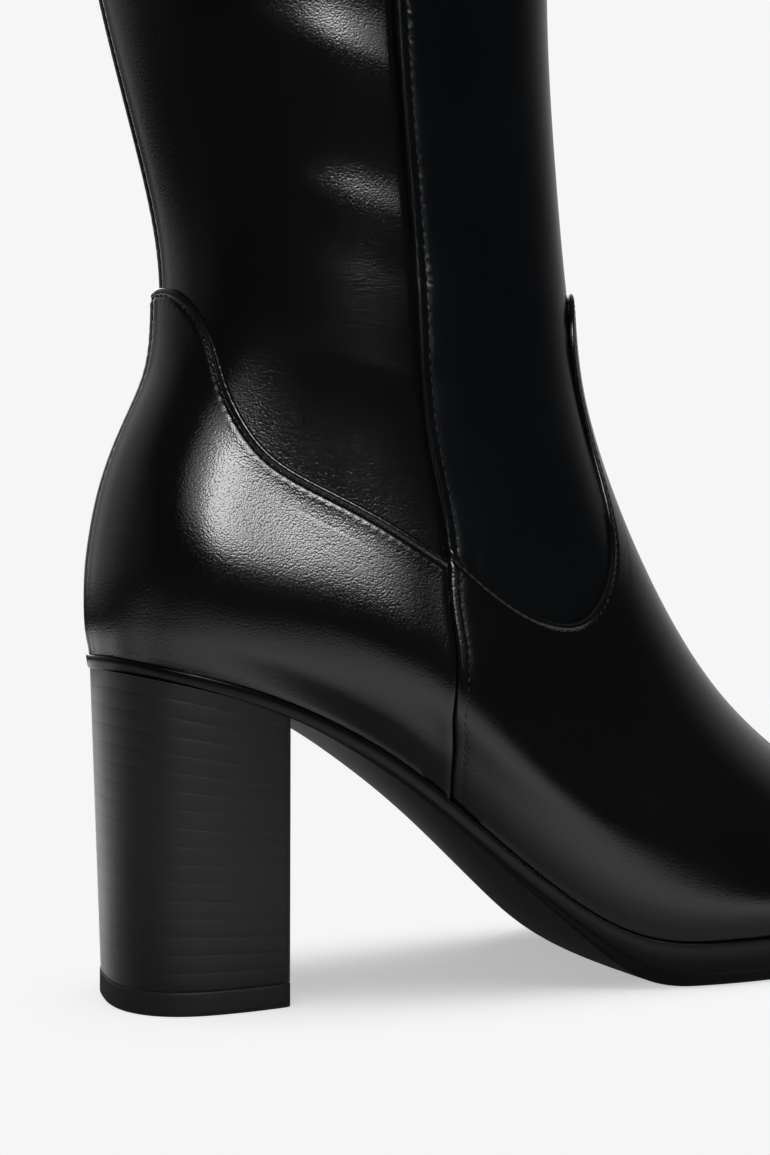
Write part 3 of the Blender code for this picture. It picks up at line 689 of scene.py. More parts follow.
EDGES = {}
for edge_name, edge_table, edge_centre, edge_side in (
    ("counter", COUNTER_EDGE, 0.0, 1),
    ("vamp", VAMP_EDGE, 0.5, -1),
):
    e_turn, e_level = edge_curve(edge_table, edge_centre, 0.36 * MM)
    e_turn_step, e_level_step = inward_steps(e_turn, e_level, edge_side)
    e_line = shell(e_turn, e_level)
    e_ahead = shell(e_turn + e_turn_step * MM, e_level + e_level_step * MM) - e_line
    EDGES[edge_name] = {
        "turn": e_turn, "level": e_level, "turn_step": e_turn_step, "level_step": e_level_step,
        "line": e_line, "side_way": e_ahead, "length": walked(e_line), "centre": edge_centre,
    }
    print(edge_name, "edge is", round(EDGES[edge_name]["length"][-1] * 1000), "mm long")

# %% [markdown]
# ## Height of each panel over the shell
# Every panel has one function for how far its face stands out from the shell at a turn and level. It sums
# the thickness, the seam and edge profiles, the pull of the thread and the folds. All grids of a panel read
# the same function, so a fine strip along an edge and a coarser field beside it agree.

# %% Folds of the shaft
FOLD_COLUMNS = ("height", "slope", "flatten", "above", "below", "reach", "amount")
FOLDS = (
    (0.2310, 0.38, 8.0, 0.0097, 0.0190, 0.042, 1.42),
    (0.1955, 0.36, 8.0, 0.0072, 0.0135, 0.034, 0.74),
    (0.1755, 0.34, 8.0, 0.0050, 0.0085, 0.030, 0.11),
    (0.1550, 0.36, 8.0, 0.0042, 0.0090, 0.030, 0.22),
    (0.2720, 0.25, 6.0, 0.0110, 0.0200, 0.040, 0.90),
    (0.3150, 0.20, 6.0, 0.0130, 0.0240, 0.040, 0.70),
)
ANKLE_LEAN = 5.6 * MM  # how far the leather above the ankle hangs out over the part below it
ANKLE_LEAN_FROM = 0.108
ANKLE_LEAN_REACH = 0.098


def fold_height(back, z):
    """Soft ridges that start at the side seam, climb towards the back and fade. Each rises slowly from below
    and falls off faster above, as sagging leather does. back: distance behind the seam."""
    total = np.zeros_like(z)
    for row in FOLDS:
        fold = dict(zip(FOLD_COLUMNS, row))
        away = np.maximum(back, 0)
        middle = fold["height"] + fold["slope"] * away / (1 + fold["flatten"] * away)
        width = np.where(z > middle, fold["above"], fold["below"])
        fade = np.exp(-((away / fold["reach"]) ** 2))
        total += fold["amount"] * MM * bump(z, middle, width) * fade
    return total


def ankle_lean(front, z):
    """A slow outward lean of the leather round the side seam, from the ankle up to the start of the calf."""
    near = np.where(front < 0, bump(front, 0, 0.052), bump(front, 0, 0.026))
    up = ease((z - ANKLE_LEAN_FROM) / ANKLE_LEAN_REACH) * (1 - ease((z - 0.25) / 0.12))
    return ANKLE_LEAN * up * near


def collar_line(z):
    """The fine groove of the stitch line round the collar, 3 mm below the top."""
    return 0.12 * MM * bump(z, COLLAR_Z - 3 * MM, 0.5 * MM)


def shaft_height(turn, level):
    """Face of the back panels: on the shell, with folds, a dip at each side seam and the seam at the back."""
    front, _ = seam_distance(turn, level)
    z = shell(turn, level)[..., 2]
    high = fold_height(-front, z) * ease(-front / (2.5 * MM))
    high += ankle_lean(front, z)
    high -= 0.55 * MM * bump(front, 0.0, 0.9 * MM)
    high -= 0.35 * MM * ease(front / (2 * MM))
    high += back_seam(back_distance(turn, level), z)
    return high - collar_line(z)


def back_distance(turn, level):
    """Distance from the line down the centre of the back, on either side of it."""
    by_turn, _ = slopes_of(np.zeros_like(level), level)
    half_turn = np.abs((turn + 0.5) % 1.0 - 0.5)
    return half_turn * np.linalg.norm(by_turn, axis=-1)


def back_seam(back, along):
    """A closed seam: two rounded lips that dip to a line between them, with faint pulls of the thread."""
    beat = 0.5 + 0.5 * np.cos(2 * math.pi * along / SEAM_PITCH)
    lips = 0.40 * MM * bump(back, 2.0 * MM, 1.2 * MM)
    groove = -0.70 * MM * bump(back, 0.0, 0.85 * MM)
    return lips + groove - 0.14 * MM * beat**2 * bump(back, 1.5 * MM, 0.6 * MM)


# %% [markdown]
# ## Faces of the front panel, the counter and the vamp
# The front panel is a thin sheet, puckered where its seams pull. The counter and the vamp are doubled
# sheets: full below their top edges, flared a little at their tabs and pressed down along the side seams.

# %% Front panel, counter and vamp
FULLNESS = (2.1 * MM, 3.3 * MM)  # how full the heel part stands below its top edge, at its back and its front
SEAM_SHARE = 0.38  # how much of it is left at the side seam
FULLNESS_DOWN = (32 * MM, 17 * MM)  # middle and half width of that, measured down from the edge
DOWN_PER_WALK = 0.87  # distance from the top edge for each metre walked down the side seam
# Puckers: height, reach, strength. Folds across the shin: height, slope, half width, amount in millimetres.
PUCKERS = ((0.247, 0.013, 1.0), (0.209, 0.012, 0.8), (0.18, 0.01, 0.7), (0.3, 0.02, 0.5), (0.36, 0.03, 0.4))
SHIN_FOLDS = ((0.178, 0.10, 0.006, 0.30), (0.163, 0.16, 0.005, 0.34), (0.150, 0.20, 0.005, 0.30))


def panel_height(turn, level):
    """Face of the front panel: a thin sheet with a round roll, a stitch line and puckers at the side seam."""
    front, along = seam_distance(turn, level)
    z = shell(turn, level)[..., 2]
    high = (0.35 + 0.65 * ease((level - 8.9) / 1.6)) * MM + read_profile(PANEL_SEAM, front)
    high += sewn(front, along, STITCH_FROM_SEAM, SEAM_PITCH, 0.6) + ankle_lean(front, z)
    strength = sum(amount * bump(z, middle, width) for middle, width, amount in PUCKERS)
    fan = bump(front, 4.2 * MM, 1.6 * MM) + 0.5 * bump(front, 6.5 * MM, 2.5 * MM)
    high += 0.065 * MM * strength * fan * ripple(along + 0.15 * front, 5, 4.0 * MM)
    high += 0.035 * MM * bump(front, 0.95 * MM, 0.5 * MM) * ripple(along, 9, 14 * MM)
    high += 0.30 * MM * bump(front, 1.3 * MM, 0.8 * MM) * bump(z, 0.129, 0.0055)
    fade = ease(front / (8 * MM)) * np.exp(-((front / 0.045) ** 2))
    for middle, slope, width, amount in SHIN_FOLDS:
        high += amount * MM * bump(z, middle + slope * front, width) * fade
    return high - collar_line(z)


def counter_extra(level, z, back, down, front):
    """What shapes the counter alone: side seams, back seam, tab flare and the fullness below its top edge."""
    extra = read_profile(COUNTER_SEAM, -front)
    extra += back_seam(back, z) * ease(down / (4 * MM))
    extra += 1.2 * MM * ease((level - 6.9) / 1.7) * bump(back, 0, 20 * MM)
    amount = FULLNESS[0] + (FULLNESS[1] - FULLNESS[0]) * ease((back - 36 * MM) / (34 * MM))
    amount *= 1 - (1 - SEAM_SHARE) * bump(front, 0, 11 * MM)
    side = ease((back - 10 * MM) / (28 * MM))
    return extra + amount * bump(down, *FULLNESS_DOWN) * side * ease(level / 1.6)


def vamp_extra(level, corner_along, down, front, seam_along):
    """What shapes the vamp alone: side seams, tab flare, the end of the counter's fullness, the U's lip."""
    extra = read_profile(VAMP_SEAM, front)
    extra += sewn(front, seam_along, STITCH_FROM_SEAM, LOWER_PITCH, 0.25)
    extra += 0.9 * MM * ease((level - 7.6) / 1.4)
    across_seam = SEAM_SHARE * bump(front, 0, 17 * MM) * ease(level / 1.6)
    extra += FULLNESS[1] * bump(DOWN_PER_WALK * (corner_along - seam_along), *FULLNESS_DOWN) * across_seam
    lip = ease((front - 20 * MM) / (12 * MM)) * (1 - ease((level - 6.6) / 0.8))
    return extra + 0.20 * MM * bump(down, 0.9 * MM, 0.5 * MM) * lip


def overlay_height(name, turn, level):
    """Face of the counter or vamp: a doubled sheet with its folded top edge and what shapes it alone. With it
    come the distance down from the edge and the distance in front of the side seam."""
    edge = EDGES[name]
    points = shell(turn, level)
    down, edge_along = nearest(points, edge["line"], edge["side_way"])
    front, seam_along = seam_distance(turn, level)
    rolled = TOP_EDGE if name == "counter" else VAMP_TOP_EDGE
    high = GAP + OVERLAY + read_profile(rolled, down) + sewn(down, edge_along, STITCH_FROM_EDGE, EDGE_PITCH)
    if name == "counter":
        high += counter_extra(level, points[..., 2], back_distance(turn, level), down, front)
    else:
        corner_along = float(np.interp(edge["level"][0], SEAM_LINE, SEAM_WALKED))
        high += vamp_extra(level, corner_along, down, front, seam_along)
    return np.maximum(high, -0.1 * MM), down, front


# %% [markdown]
# ## Back panels of the shaft
# Two back panels meet in a seam down the centre of the back and end at the side seams, under the front
# panel's edge. They are one grid here: columns crowd towards the seams, where the leather bends most in a
# short way.

# %% Back panels
def crowded(start, end, fine_step, coarse_step, reach):
    """Numbers from start to end: steps grow from fine to coarse over a reach from start."""
    values = [start]
    sign = 1 if end > start else -1
    while abs(values[-1] - start) < abs(end - start):
        far = abs(values[-1] - start)
        step = fine_step + (coarse_step - fine_step) * float(ease(far / reach))
        values.append(values[-1] + sign * step)
    values[-1] = end
    return np.array(values)


def shares_between(length, first, last):
    """Shares from 0 to 1 of a length, crowded at both ends. first, last: (fine step, coarse step, reach)."""
    left = crowded(0, length / 2, *first) / length
    right = 1 - crowded(0, length / 2, *last) / length
    return np.append(left, right[-2::-1])


HALF_BACK = 0.105  # length from a side seam to the middle of the back, for the steps
RIM_STEPS = (0.25 * MM, 1.6 * MM, 6 * MM)
SEAM_STEPS = (0.25 * MM, 1.5 * MM, 6 * MM)
BACK_STEPS = (0.25 * MM, 1.5 * MM, 8 * MM)
TOP_STEPS = COLLAR_Z - crowded(0, 8 * MM, *RIM_STEPS)
shaft_z_rows = np.append(np.arange(0.098, TOP_STEPS[-1] - 1 * MM, 1.5 * MM), TOP_STEPS[::-1])
fine_levels = np.linspace(4.6, TOP_LEVEL, 1200)
seam_heights = shell(seam_turn(fine_levels), fine_levels)[:, 2]
SHAFT_ROWS = np.interp(shaft_z_rows, seam_heights, fine_levels)
back_half = shares_between(HALF_BACK, SEAM_STEPS, BACK_STEPS)
under_panel = np.arange(1, 9)[::-1] * 0.6 * MM  # distances in front of the seam, under the front panel
under_turns, _ = beside_seam(SHAFT_ROWS, under_panel)
outer_turns = np.hstack([under_turns, seam_turn(SHAFT_ROWS)[:, None] * (1 - back_half[None])])
back_turns = np.hstack([outer_turns, -outer_turns[:, -2::-1]])[:, ::-1]
back_levels = np.repeat(SHAFT_ROWS[:, None], back_turns.shape[1], 1)
back_skin = skin(back_turns, back_levels, shaft_height(back_turns, back_levels))

# %% [markdown]
# ## Rim of the shaft
# The top of the shaft is turned in over the lining. The rim is a closed ring: a half round from the outer
# face over the top to the inside, then a short facing down the inside.

# %% Rim and facing
RIM_TURNS = np.linspace(0, 1, 241)[:-1]


def rim_out(turn):
    """How far the outer face stands out at the collar: only the front panel's sheet does."""
    front, _ = seam_distance(turn, np.full_like(turn, TOP_LEVEL))
    return (PANEL + GAP) * ease((front + 0.3 * MM) / (1.2 * MM))


def rim_ring(share, drop):
    """Ring of the rim. share: 0 at the outer face, 1 at the inner. drop: how far below the collar."""
    out = rim_out(RIM_TURNS)
    distance = out * (1 - share) - WALL * share
    ring = form(RIM_TURNS, np.full_like(RIM_TURNS, TOP_LEVEL), distance)
    ring[:, 2] -= drop
    return ring


arc = np.linspace(0, math.pi, 13)
rim_rings = [rim_ring(0.0, 2.6 * MM), rim_ring(0.0, 1.8 * MM)]
rim_rings += [rim_ring((1 - math.cos(a)) / 2, 0.9 * MM * (1 - math.sin(a))) for a in arc]
rim_rings += [rim_ring(1.0, drop * MM) for drop in (2, 4, 8, 14)]
rim_points = np.stack(rim_rings)
rim_points[:2] -= 0.04 * MM * outward(RIM_TURNS, np.full_like(RIM_TURNS, float(TOP_LEVEL)))[None]
rim_faces = grid_faces(*rim_points.shape[:2], closed=True)
make_piece("back_panels", [back_skin, (rim_points, rim_faces)], LEATHER, "black_leather", "upper")

# %% [markdown]
# ## Front panel of the shaft
# The front panel runs from side seam to side seam and down under the vamp. Two fine strips carry the roll,
# the stitches and the puckers along its seams. A coarser field spans the shin between them and dips under
# the strips.

# %% Front panel
SEAM_D = (0.0, 0.08, 0.2, 0.35, 0.55, 0.8, 1.05, 1.3, 1.6, 1.9, 2.2, 2.45, 2.6, 2.75, 2.9, 3.1, 3.4, 3.8)
STRIP_D = np.concatenate([SEAM_D, np.arange(4.3, 7.0, 0.6), np.arange(7.4, 14.0, 1.1)]) * MM


def strip_sink(distance):
    """How far a strip dives at its free side, so that it ends inside the field at a very flat angle."""
    return 0.022 * MM * ease((distance - 7.0 * MM) / (6.5 * MM))


def field_sink(distance):
    """How far the field lies under a strip: well below it near the seam, flush with it from 8 mm on."""
    return 0.8 * MM * (1 - ease((distance - 4.2 * MM) / (4.0 * MM)))


def seam_strip(levels, front_side, height_of):
    """Two strips along the side seams. front_side is 1 for strips in front of the seam, -1 behind it."""
    outer, rows = beside_seam(levels, front_side * STRIP_D)
    return [
        skin(side * outer, rows, height_of(side * outer, rows) - strip_sink(STRIP_D)[None], side * front_side)
        for side in (1, -1)
    ]


def levels_by_walk(first, last, step):
    """Levels between two, a step apart along the side seam."""
    start, end = np.interp([first, last], SEAM_LINE, SEAM_WALKED)
    even = np.linspace(start, end, int(round((end - start) / step)) + 1)
    return np.interp(even, SEAM_WALKED, SEAM_LINE)


PANEL_TOP = TOP_LEVEL - 0.0215  # the panel ends under the rim
SHIN_LENGTH = 0.115  # from seam to seam over the shin, for the steps
FIELD_STEPS = (0.8 * MM, 1.6 * MM, 14 * MM)
panel_rows = levels_by_walk(5.35, PANEL_TOP, 0.42 * MM)
panel_strips = seam_strip(panel_rows, 1, panel_height)
field_rows = np.append(levels_by_walk(5.2, 13.9, 1.6 * MM)[:-1], np.linspace(13.9, PANEL_TOP, 26))
field_share = shares_between(SHIN_LENGTH, FIELD_STEPS, FIELD_STEPS)
field_seam = seam_turn(field_rows)[:, None]
field_turns = field_seam + field_share[None] * (1 - 2 * field_seam)
field_levels = np.repeat(field_rows[:, None], len(field_share), 1)
field_front, _ = seam_distance(field_turns, field_levels)
field_high = panel_height(field_turns, field_levels) - field_sink(field_front)
panel_parts = panel_strips + [skin(field_turns, field_levels, field_high)]
make_piece("front_panel_skin", panel_parts, PANEL_LEATHER, "black_leather", "front_panel")


# %% [markdown]
# ## Counter and vamp
# Each is built of three kinds of grid on the same form: a strip that rolls over the folded top edge, two
# strips along the side seams, and a field that follows the seams down to the feather line. The field stops
# a little short of the top edge, under the strip.

# %% Counter and vamp
ROLL_D = (0.0, 0.05, 0.13, 0.25, 0.42, 0.62, 0.85, 1.1, 1.35, 1.6, 1.8, 1.95, 2.05, 2.18, 2.35, 2.6, 3.0, 3.5)
TOP_D = np.concatenate([ROLL_D, np.arange(4.1, 7.0, 0.6), np.arange(7.4, 14.0, 1.1)]) * MM
TUCK = 1.3 * MM  # how far the leather runs down behind the sole's lip
LOWER_STEPS = (0.8 * MM, 1.5 * MM, 14 * MM)
STRIP_FROM_EDGE = 3.2 * MM  # the side strips end this far below the top edge
FIELD_FROM_EDGE = 4.6 * MM  # and the field this far


def pinned(turns, levels, centre):
    """Turns of rows near a side seam, moved so that their ends lie on the seam."""
    near = 1 - ease(np.arange(turns.shape[1]) / 28.0)
    first = seam_turn(levels[:, 0]) - turns[:, 0]
    last = 2 * centre - seam_turn(levels[:, -1]) - turns[:, -1]
    return turns + first[:, None] * near[None] + last[:, None] * near[None, ::-1]


def top_strip(name):
    """The folded top edge: its underside, its roll and the leather up to 13 mm from the edge."""
    edge = EDGES[name]
    under = np.array(EDGE_UNDERSIDE) * MM
    distance = np.append(under[:, 0], TOP_D)
    turns = edge["turn"][None] + distance[:, None] * edge["turn_step"][None]
    levels = edge["level"][None] + distance[:, None] * edge["level_step"][None]
    turns = pinned(turns, levels, edge["centre"])
    high = overlay_height(name, turns, levels)[0] - strip_sink(distance)[:, None]
    count = len(under)
    flat, _, _ = overlay_height(name, turns[count : count + 1], levels[count : count + 1])
    high[:count] = np.maximum(flat - TOP_EDGE[0][1] * MM + under[:, 1:], -0.3 * MM)
    return skin(turns, levels, high, -1)


def lower_panel(name, field_length, front_side):
    """Seam strips and field of the counter or vamp, from the feather line up to near the top edge."""
    edge = EDGES[name]
    centre = edge["centre"]
    parts = [top_strip(name)]
    levels = levels_by_walk(0.0, edge["level"][0] + 0.1, 0.42 * MM)
    strips = seam_strip(levels, front_side, lambda turn, level: overlay_height(name, turn, level)[0])
    outer, rows = beside_seam(levels, front_side * STRIP_D)
    for (points, faces), turns in zip(strips, (outer, 2 * centre - outer)):
        down, _ = nearest(shell(turns, rows), edge["line"], edge["side_way"])
        keep = (down.ravel()[faces] > STRIP_FROM_EDGE).all(1)
        points[0, :, 2] -= TUCK
        parts.append((points, faces[keep]))
    rows = levels_by_walk(0.0, edge["level"].max() + 0.02, 1.5 * MM)
    share = shares_between(field_length, LOWER_STEPS, LOWER_STEPS)
    seam = seam_turn(rows)[:, None]
    turns = seam + share[None] * 2 * (centre - seam)
    levels = np.repeat(rows[:, None], len(share), 1)
    high, down, front = overlay_height(name, turns, levels)
    high -= field_sink(np.abs(front)) + field_sink(np.maximum(down, 0)) * (down > 0)
    points, faces = skin(turns, levels, high, front_side)
    points[0, :, 2] -= TUCK
    keep = (down.ravel()[faces] > FIELD_FROM_EDGE).all(1)
    parts.append((points, faces[keep]))
    return parts


make_piece("counter_skin", lower_panel("counter", 0.19, -1), LEATHER, "black_leather", "counter")
make_piece("vamp_skin", lower_panel("vamp", 0.30, 1), LEATHER, "black_leather", "vamp")

# %% [markdown]
# ## Stitches
# The thread shows as short dashes sunk in the stitch lines. Each stitch is a small egg shape laid along the
# line, and all stitches of a line are worked out together from one little grid.

# %% Thread
THREAD_ROUND = 6
THREAD_LONG = 6
THREAD_THICK = 0.42 * MM


def stitch_line(turn, level, height, pitch, length, thick):
    """Stitches along a curve on the form: a unit egg stretched along the curve at every pitch."""
    points = form(turn, level, height)
    way_length = walked(points)
    count = int(way_length[-1] / pitch)
    middles = (np.arange(count) + 0.5) * pitch
    centre, way, out = (
        np.stack([np.interp(middles, way_length, table[:, k]) for k in range(3)], 1)[:, None, None]
        for table in (points, directions(points), outward(turn, level))
    )
    u = np.linspace(0, math.pi, THREAD_LONG + 1)[None, :, None]
    v = (np.arange(THREAD_ROUND) / THREAD_ROUND * 2 * math.pi)[None, None, :]
    along = (-np.cos(u) * length / 2 * np.ones_like(v))[..., None]
    round_off = thick / 2 * np.sin(u) ** 0.7
    flat = (round_off * np.cos(v))[..., None]
    up = (round_off * np.sin(v))[..., None]
    grid = centre + way * along + np.cross(way, out) * flat + out * up
    faces = grid_faces(THREAD_LONG + 1, THREAD_ROUND, closed=True)[:, ::-1]
    size = (THREAD_LONG + 1) * THREAD_ROUND
    return grid.reshape(-1, 3), (faces[None] + np.arange(count)[:, None, None] * size).reshape(-1, 4)


def edge_stitches(name):
    """The stitch line behind a top edge."""
    edge = EDGES[name]
    turns = edge["turn"] + STITCH_FROM_EDGE * edge["turn_step"]
    levels = edge["level"] + STITCH_FROM_EDGE * edge["level_step"]
    high, _, _ = overlay_height(name, turns, levels)
    high += 0.19 * MM
    return stitch_line(turns[6:-6], levels[6:-6], high[6:-6], EDGE_PITCH, 1.75 * MM, THREAD_THICK)


def seam_stitches(levels, height_of, pitch, length, lift):
    """A stitch line in front of each side seam. lift: middle of the thread over the leather."""
    outer = seam_turn(levels) + STITCH_FROM_SEAM / np.interp(levels, SEAM_LINE, SEAM_SCALE)
    return [
        stitch_line(turns, levels, height_of(turns, levels) + lift, pitch, length, THREAD_THICK)
        for turns in (outer, 1 - outer)
    ]


def thread_material():
    """Black polyester thread, a little duller than the leather, with its twist as a fine bump."""
    finish = (("Base Color", (0.014, 0.014, 0.015, 1)), ("Roughness", 0.50))
    made, tree, shader, place = start_material("thread", finish)
    raise_by(tree, shader, noise(tree, place, 5000).outputs["Fac"], 0.00003)
    return made


def vamp_face(turn, level):
    """Height of the vamp's face alone."""
    return overlay_height("vamp", turn, level)[0]


THREAD = thread_material()
shaft_levels = levels_by_walk(6.22, TOP_LEVEL - 0.05, 0.5 * MM)
lower_levels = levels_by_walk(0.12, 5.85, 0.5 * MM)
stitch_parts = [edge_stitches("counter"), edge_stitches("vamp")]
stitch_parts += seam_stitches(shaft_levels, panel_height, SEAM_PITCH, 1.9 * MM, 0.13 * MM)
stitch_parts += seam_stitches(lower_levels, vamp_face, LOWER_PITCH, 1.1 * MM, 0.02 * MM)
make_piece("stitches", stitch_parts, THREAD, "black_leather")

# %% [markdown]
# ## Lining
# Inside the shaft is a fabric-backed lining. It is one tube just inside the shell, its faces turned to the
# inside.

# %% Lining
def set_ramp(tree, value, stops):
    """Colour read off a ramp with two stops. Each is a position and a colour."""
    ramp = add_node(tree, "ShaderNodeValToRGB", (("Fac", value),))
    for element, (position, colour) in zip(ramp.color_ramp.elements, stops):
        element.position = position
        element.color = (*colour, 1)
    return ramp.outputs["Color"]


def lining_material():
    """Woven lining: a small change of tone and fine level ribs as bump."""
    made, tree, shader, place = start_material("lining_fabric", (("Roughness", 0.85),))
    tone = noise(tree, place, 300).outputs["Fac"]
    colour = set_ramp(tree, tone, ((0.0, (0.075, 0.062, 0.050)), (1.0, (0.125, 0.105, 0.086))))
    tree.links.new(colour, shader.inputs["Base Color"])
    weave = add_node(tree, "ShaderNodeTexWave", (("Vector", place), ("Scale", 500)), bands_direction="Z")
    raise_by(tree, shader, weave.outputs["Fac"], 0.0001)
    return made


LINING = lining_material()
lining_rows = np.linspace(0.0, TOP_LEVEL - 0.16, 120)
lining_turns, lining_levels = np.meshgrid(np.linspace(0, 1, 121)[:-1], lining_rows)
lining_points = form(lining_turns, lining_levels, 0.05 * MM - WALL)
lining_faces = grid_faces(*lining_turns.shape, closed=True)[:, ::-1]
make_piece("lining_skin", [(lining_points, lining_faces)], LINING, "lining", "upper")

# %% [markdown]
# ## Sole
# The unit sole is a thin glossy wall under the feather line, a step, and a tread that meets the floor under
# the forefoot. Its section is a row of rings, each at its own distance from the shell, with small lips
# rounded by a few extra rings.

# %% Sole shape
SOLE_ROUND = 420


def sole_column(name, x):
    """One column of the sole's table, read at x."""
    along = np.clip((x - BACK_X) / FOOT_LENGTH, 0, 1)
    return np.maximum(read_column(SOLE, SOLE_COLUMNS, name, along), 0.0)


def under_feather(x, name):
    """Height at x of a line of the sole that hangs below the feather line."""
    return feather_z(x) - SEAT_THICKNESS - sole_column(name, x) * (FOREPART_HEIGHT - SEAT_THICKNESS)


def sole_ring(out, height_of):
    """Closed ring at a distance out from the shell on the feather line, its height a function of x."""
    ring = form(np.arange(SOLE_ROUND) / SOLE_ROUND, np.zeros(SOLE_ROUND), out)
    ring[:, 2] = height_of(ring[:, 0])
    return ring


SOLE_EDGE = OVERLAY + GAP + SOLE_REVEAL
TREAD_EASE = 8 * MM


def wall_z(x):
    """Height of the foot of the side wall at x."""
    return under_feather(x, "wall")


def tread_line(x):
    """Height of the tread's edge at x: the drawn line, never under the floor, averaged over a short way."""
    steps = np.linspace(-TREAD_EASE, TREAD_EASE, 9)
    return sum(np.maximum(under_feather(x + step, "below"), 0.0) for step in steps) / len(steps)


def tread_rise(x):
    """Height where the tread's bevel begins at x."""
    return np.minimum(wall_z(x) - 0.05 * MM, tread_line(x) + 0.35 * MM)


def moved(line, rise):
    """A line of heights moved up by millimetres."""
    return lambda x: line(x) + rise * MM


def halfway(x):
    """Height in the middle of the side wall at x."""
    return 0.5 * (feather_z(x) - 0.1 * MM) + 0.5 * wall_z(x)


def fill_ring(ring, steps):
    """Grid that fills a closed ring with straight rows of points from its one side to the other."""
    half = np.arange(len(ring) // 2 + 1)
    share = np.linspace(0, 1, steps)[None, :, None]
    return ring[half][:, None] * (1 - share) + ring[(len(ring) - half) % len(ring)][:, None] * share


step_edge = SOLE_EDGE - STEP_INSET
foot_edge = SOLE_EDGE - SIDE_LEAN
SOLE_SECTION = (
    (step_edge - TREAD_BEVEL - 0.3 * MM, tread_line),
    (step_edge - TREAD_BEVEL, moved(tread_line, 0.02)),
    (step_edge - TREAD_BEVEL * 0.6, tread_rise),
    (step_edge - TREAD_BEVEL * 0.15, lambda x: 0.5 * (wall_z(x) + tread_rise(x))),
    (step_edge, moved(wall_z, -0.12)),
    (step_edge + 0.15 * MM, wall_z),
    (foot_edge - 0.45 * MM, wall_z),
    (foot_edge - 0.14 * MM, moved(wall_z, 0.10)),
    (foot_edge, moved(wall_z, 0.42)),
    (SOLE_EDGE - SIDE_LEAN * 0.5, halfway),
    (SOLE_EDGE, moved(feather_z, -0.60)),
    (SOLE_EDGE - 0.10 * MM, moved(feather_z, -0.25)),
    (SOLE_EDGE - 0.38 * MM, moved(feather_z, -0.08)),
    (SOLE_EDGE - 0.75 * MM, moved(feather_z, -0.14)),
    (OVERLAY + GAP - 0.3 * MM, moved(feather_z, -0.75)),
    (-0.5 * MM, moved(feather_z, -0.8)),
)
sole_side = np.stack([sole_ring(out, height_of) for out, height_of in SOLE_SECTION])
bottom = fill_ring(sole_side[0], 25)
across = np.linspace(0, 1, 25)
hang = (sole_column("crown", bottom[:, 0, 0]) * WAIST_CROWN)[:, None] * (4 * across * (1 - across))[None]
bottom[..., 2] = np.maximum(bottom[..., 2] - hang, 0.0)
top = fill_ring(sole_side[-1], 25)

# %% [markdown]
# ## Rubber and heel finishes
# The sole's wall is painted glossy black, and the tread and waist are duller with fine moulding marks. The
# heel is wrapped in a film printed and pressed like stacked layers, so it shows faint level lines and a
# dull sheen.

# %% Rubber and heel materials
UNDER = (-0.35, -0.75)  # how far down a face looks where the dull finish begins and where it is full


def rubber_material(name, colour, glossy, dull, mark_scale):
    """Painted rubber: gloss on the upright wall and a duller, speckled finish where it faces down."""
    finish = (("Base Color", (*colour, 1)), ("Specular IOR Level", 0.24))
    made, tree, shader, place = start_material(name, finish)
    shape = add_node(tree, "ShaderNodeNewGeometry")
    facing = add_node(tree, "ShaderNodeSeparateXYZ", ((0, shape.outputs["True Normal"]),))
    under = remap(tree, facing.outputs["Z"], UNDER, kind="SMOOTHSTEP")
    tree.links.new(remap(tree, under, (0.0, 1.0), (glossy, dull)), shader.inputs["Roughness"])
    speck = noise(tree, place, mark_scale, 4).outputs["Fac"]
    raise_by(tree, shader, math_node(tree, "MULTIPLY", speck, math_node(tree, "ADD", under, 0.12)), 0.00012)
    made.diffuse_color = (*colour, 1)
    return made


def heel_material():
    """Stack-look film: thin level layers as tone and bump, on a dull near-black ground."""
    sheen = (("Specular IOR Level", 0.38), ("Sheen Weight", 1.0), ("Sheen Roughness", 0.35))
    made, tree, shader, place = start_material("heel_stack", sheen)
    stretch = add_node(tree, "ShaderNodeMapping", (("Vector", place), ("Scale", (60, 60, 1600))))
    layers = noise(tree, stretch.outputs[0], 1, 5).outputs["Fac"]
    colour = set_ramp(tree, layers, ((0.3, (0.0050, 0.0050, 0.0054)), (0.7, (0.0085, 0.0085, 0.0090))))
    tree.links.new(colour, shader.inputs["Base Color"])
    tree.links.new(remap(tree, layers, (0.0, 1.0), (0.40, 0.54)), shader.inputs["Roughness"])
    raise_by(tree, shader, layers, 0.00001)
    return made


RUBBER = rubber_material("sole_rubber", (0.0050, 0.0050, 0.0055), 0.24, 0.62, 1400)
TIP_RUBBER = rubber_material("tip_rubber", (0.0220, 0.0220, 0.0225), 0.48, 0.70, 2200)
HEEL_STACK = heel_material()
sole_parts = [(sole_side, grid_faces(*sole_side.shape[:2], closed=True))]
sole_parts += [(bottom, grid_faces(*bottom.shape[:2])), (top, grid_faces(*top.shape[:2])[:, ::-1])]
make_piece("outsole_skin", sole_parts, RUBBER, "sole_rubber", "outsole")

# %% [markdown]
# ## Heel block and top piece
# The block is D shaped: a round back, sides that draw in a little and a flat breast. Its back and sides
# lean out towards the seat. A shallow groove marks each layer of the stack. Corners are small arcs, as on a
# trimmed heel.

# %% Heel shapes
HEEL_ROUND = 200
LAYER = 4.65 * MM
LAYER_GROOVE = ((-0.40, 0.0), (-0.18, 0.015), (0.0, 0.05), (0.18, 0.015), (0.40, 0.0))  # height, depth in mm


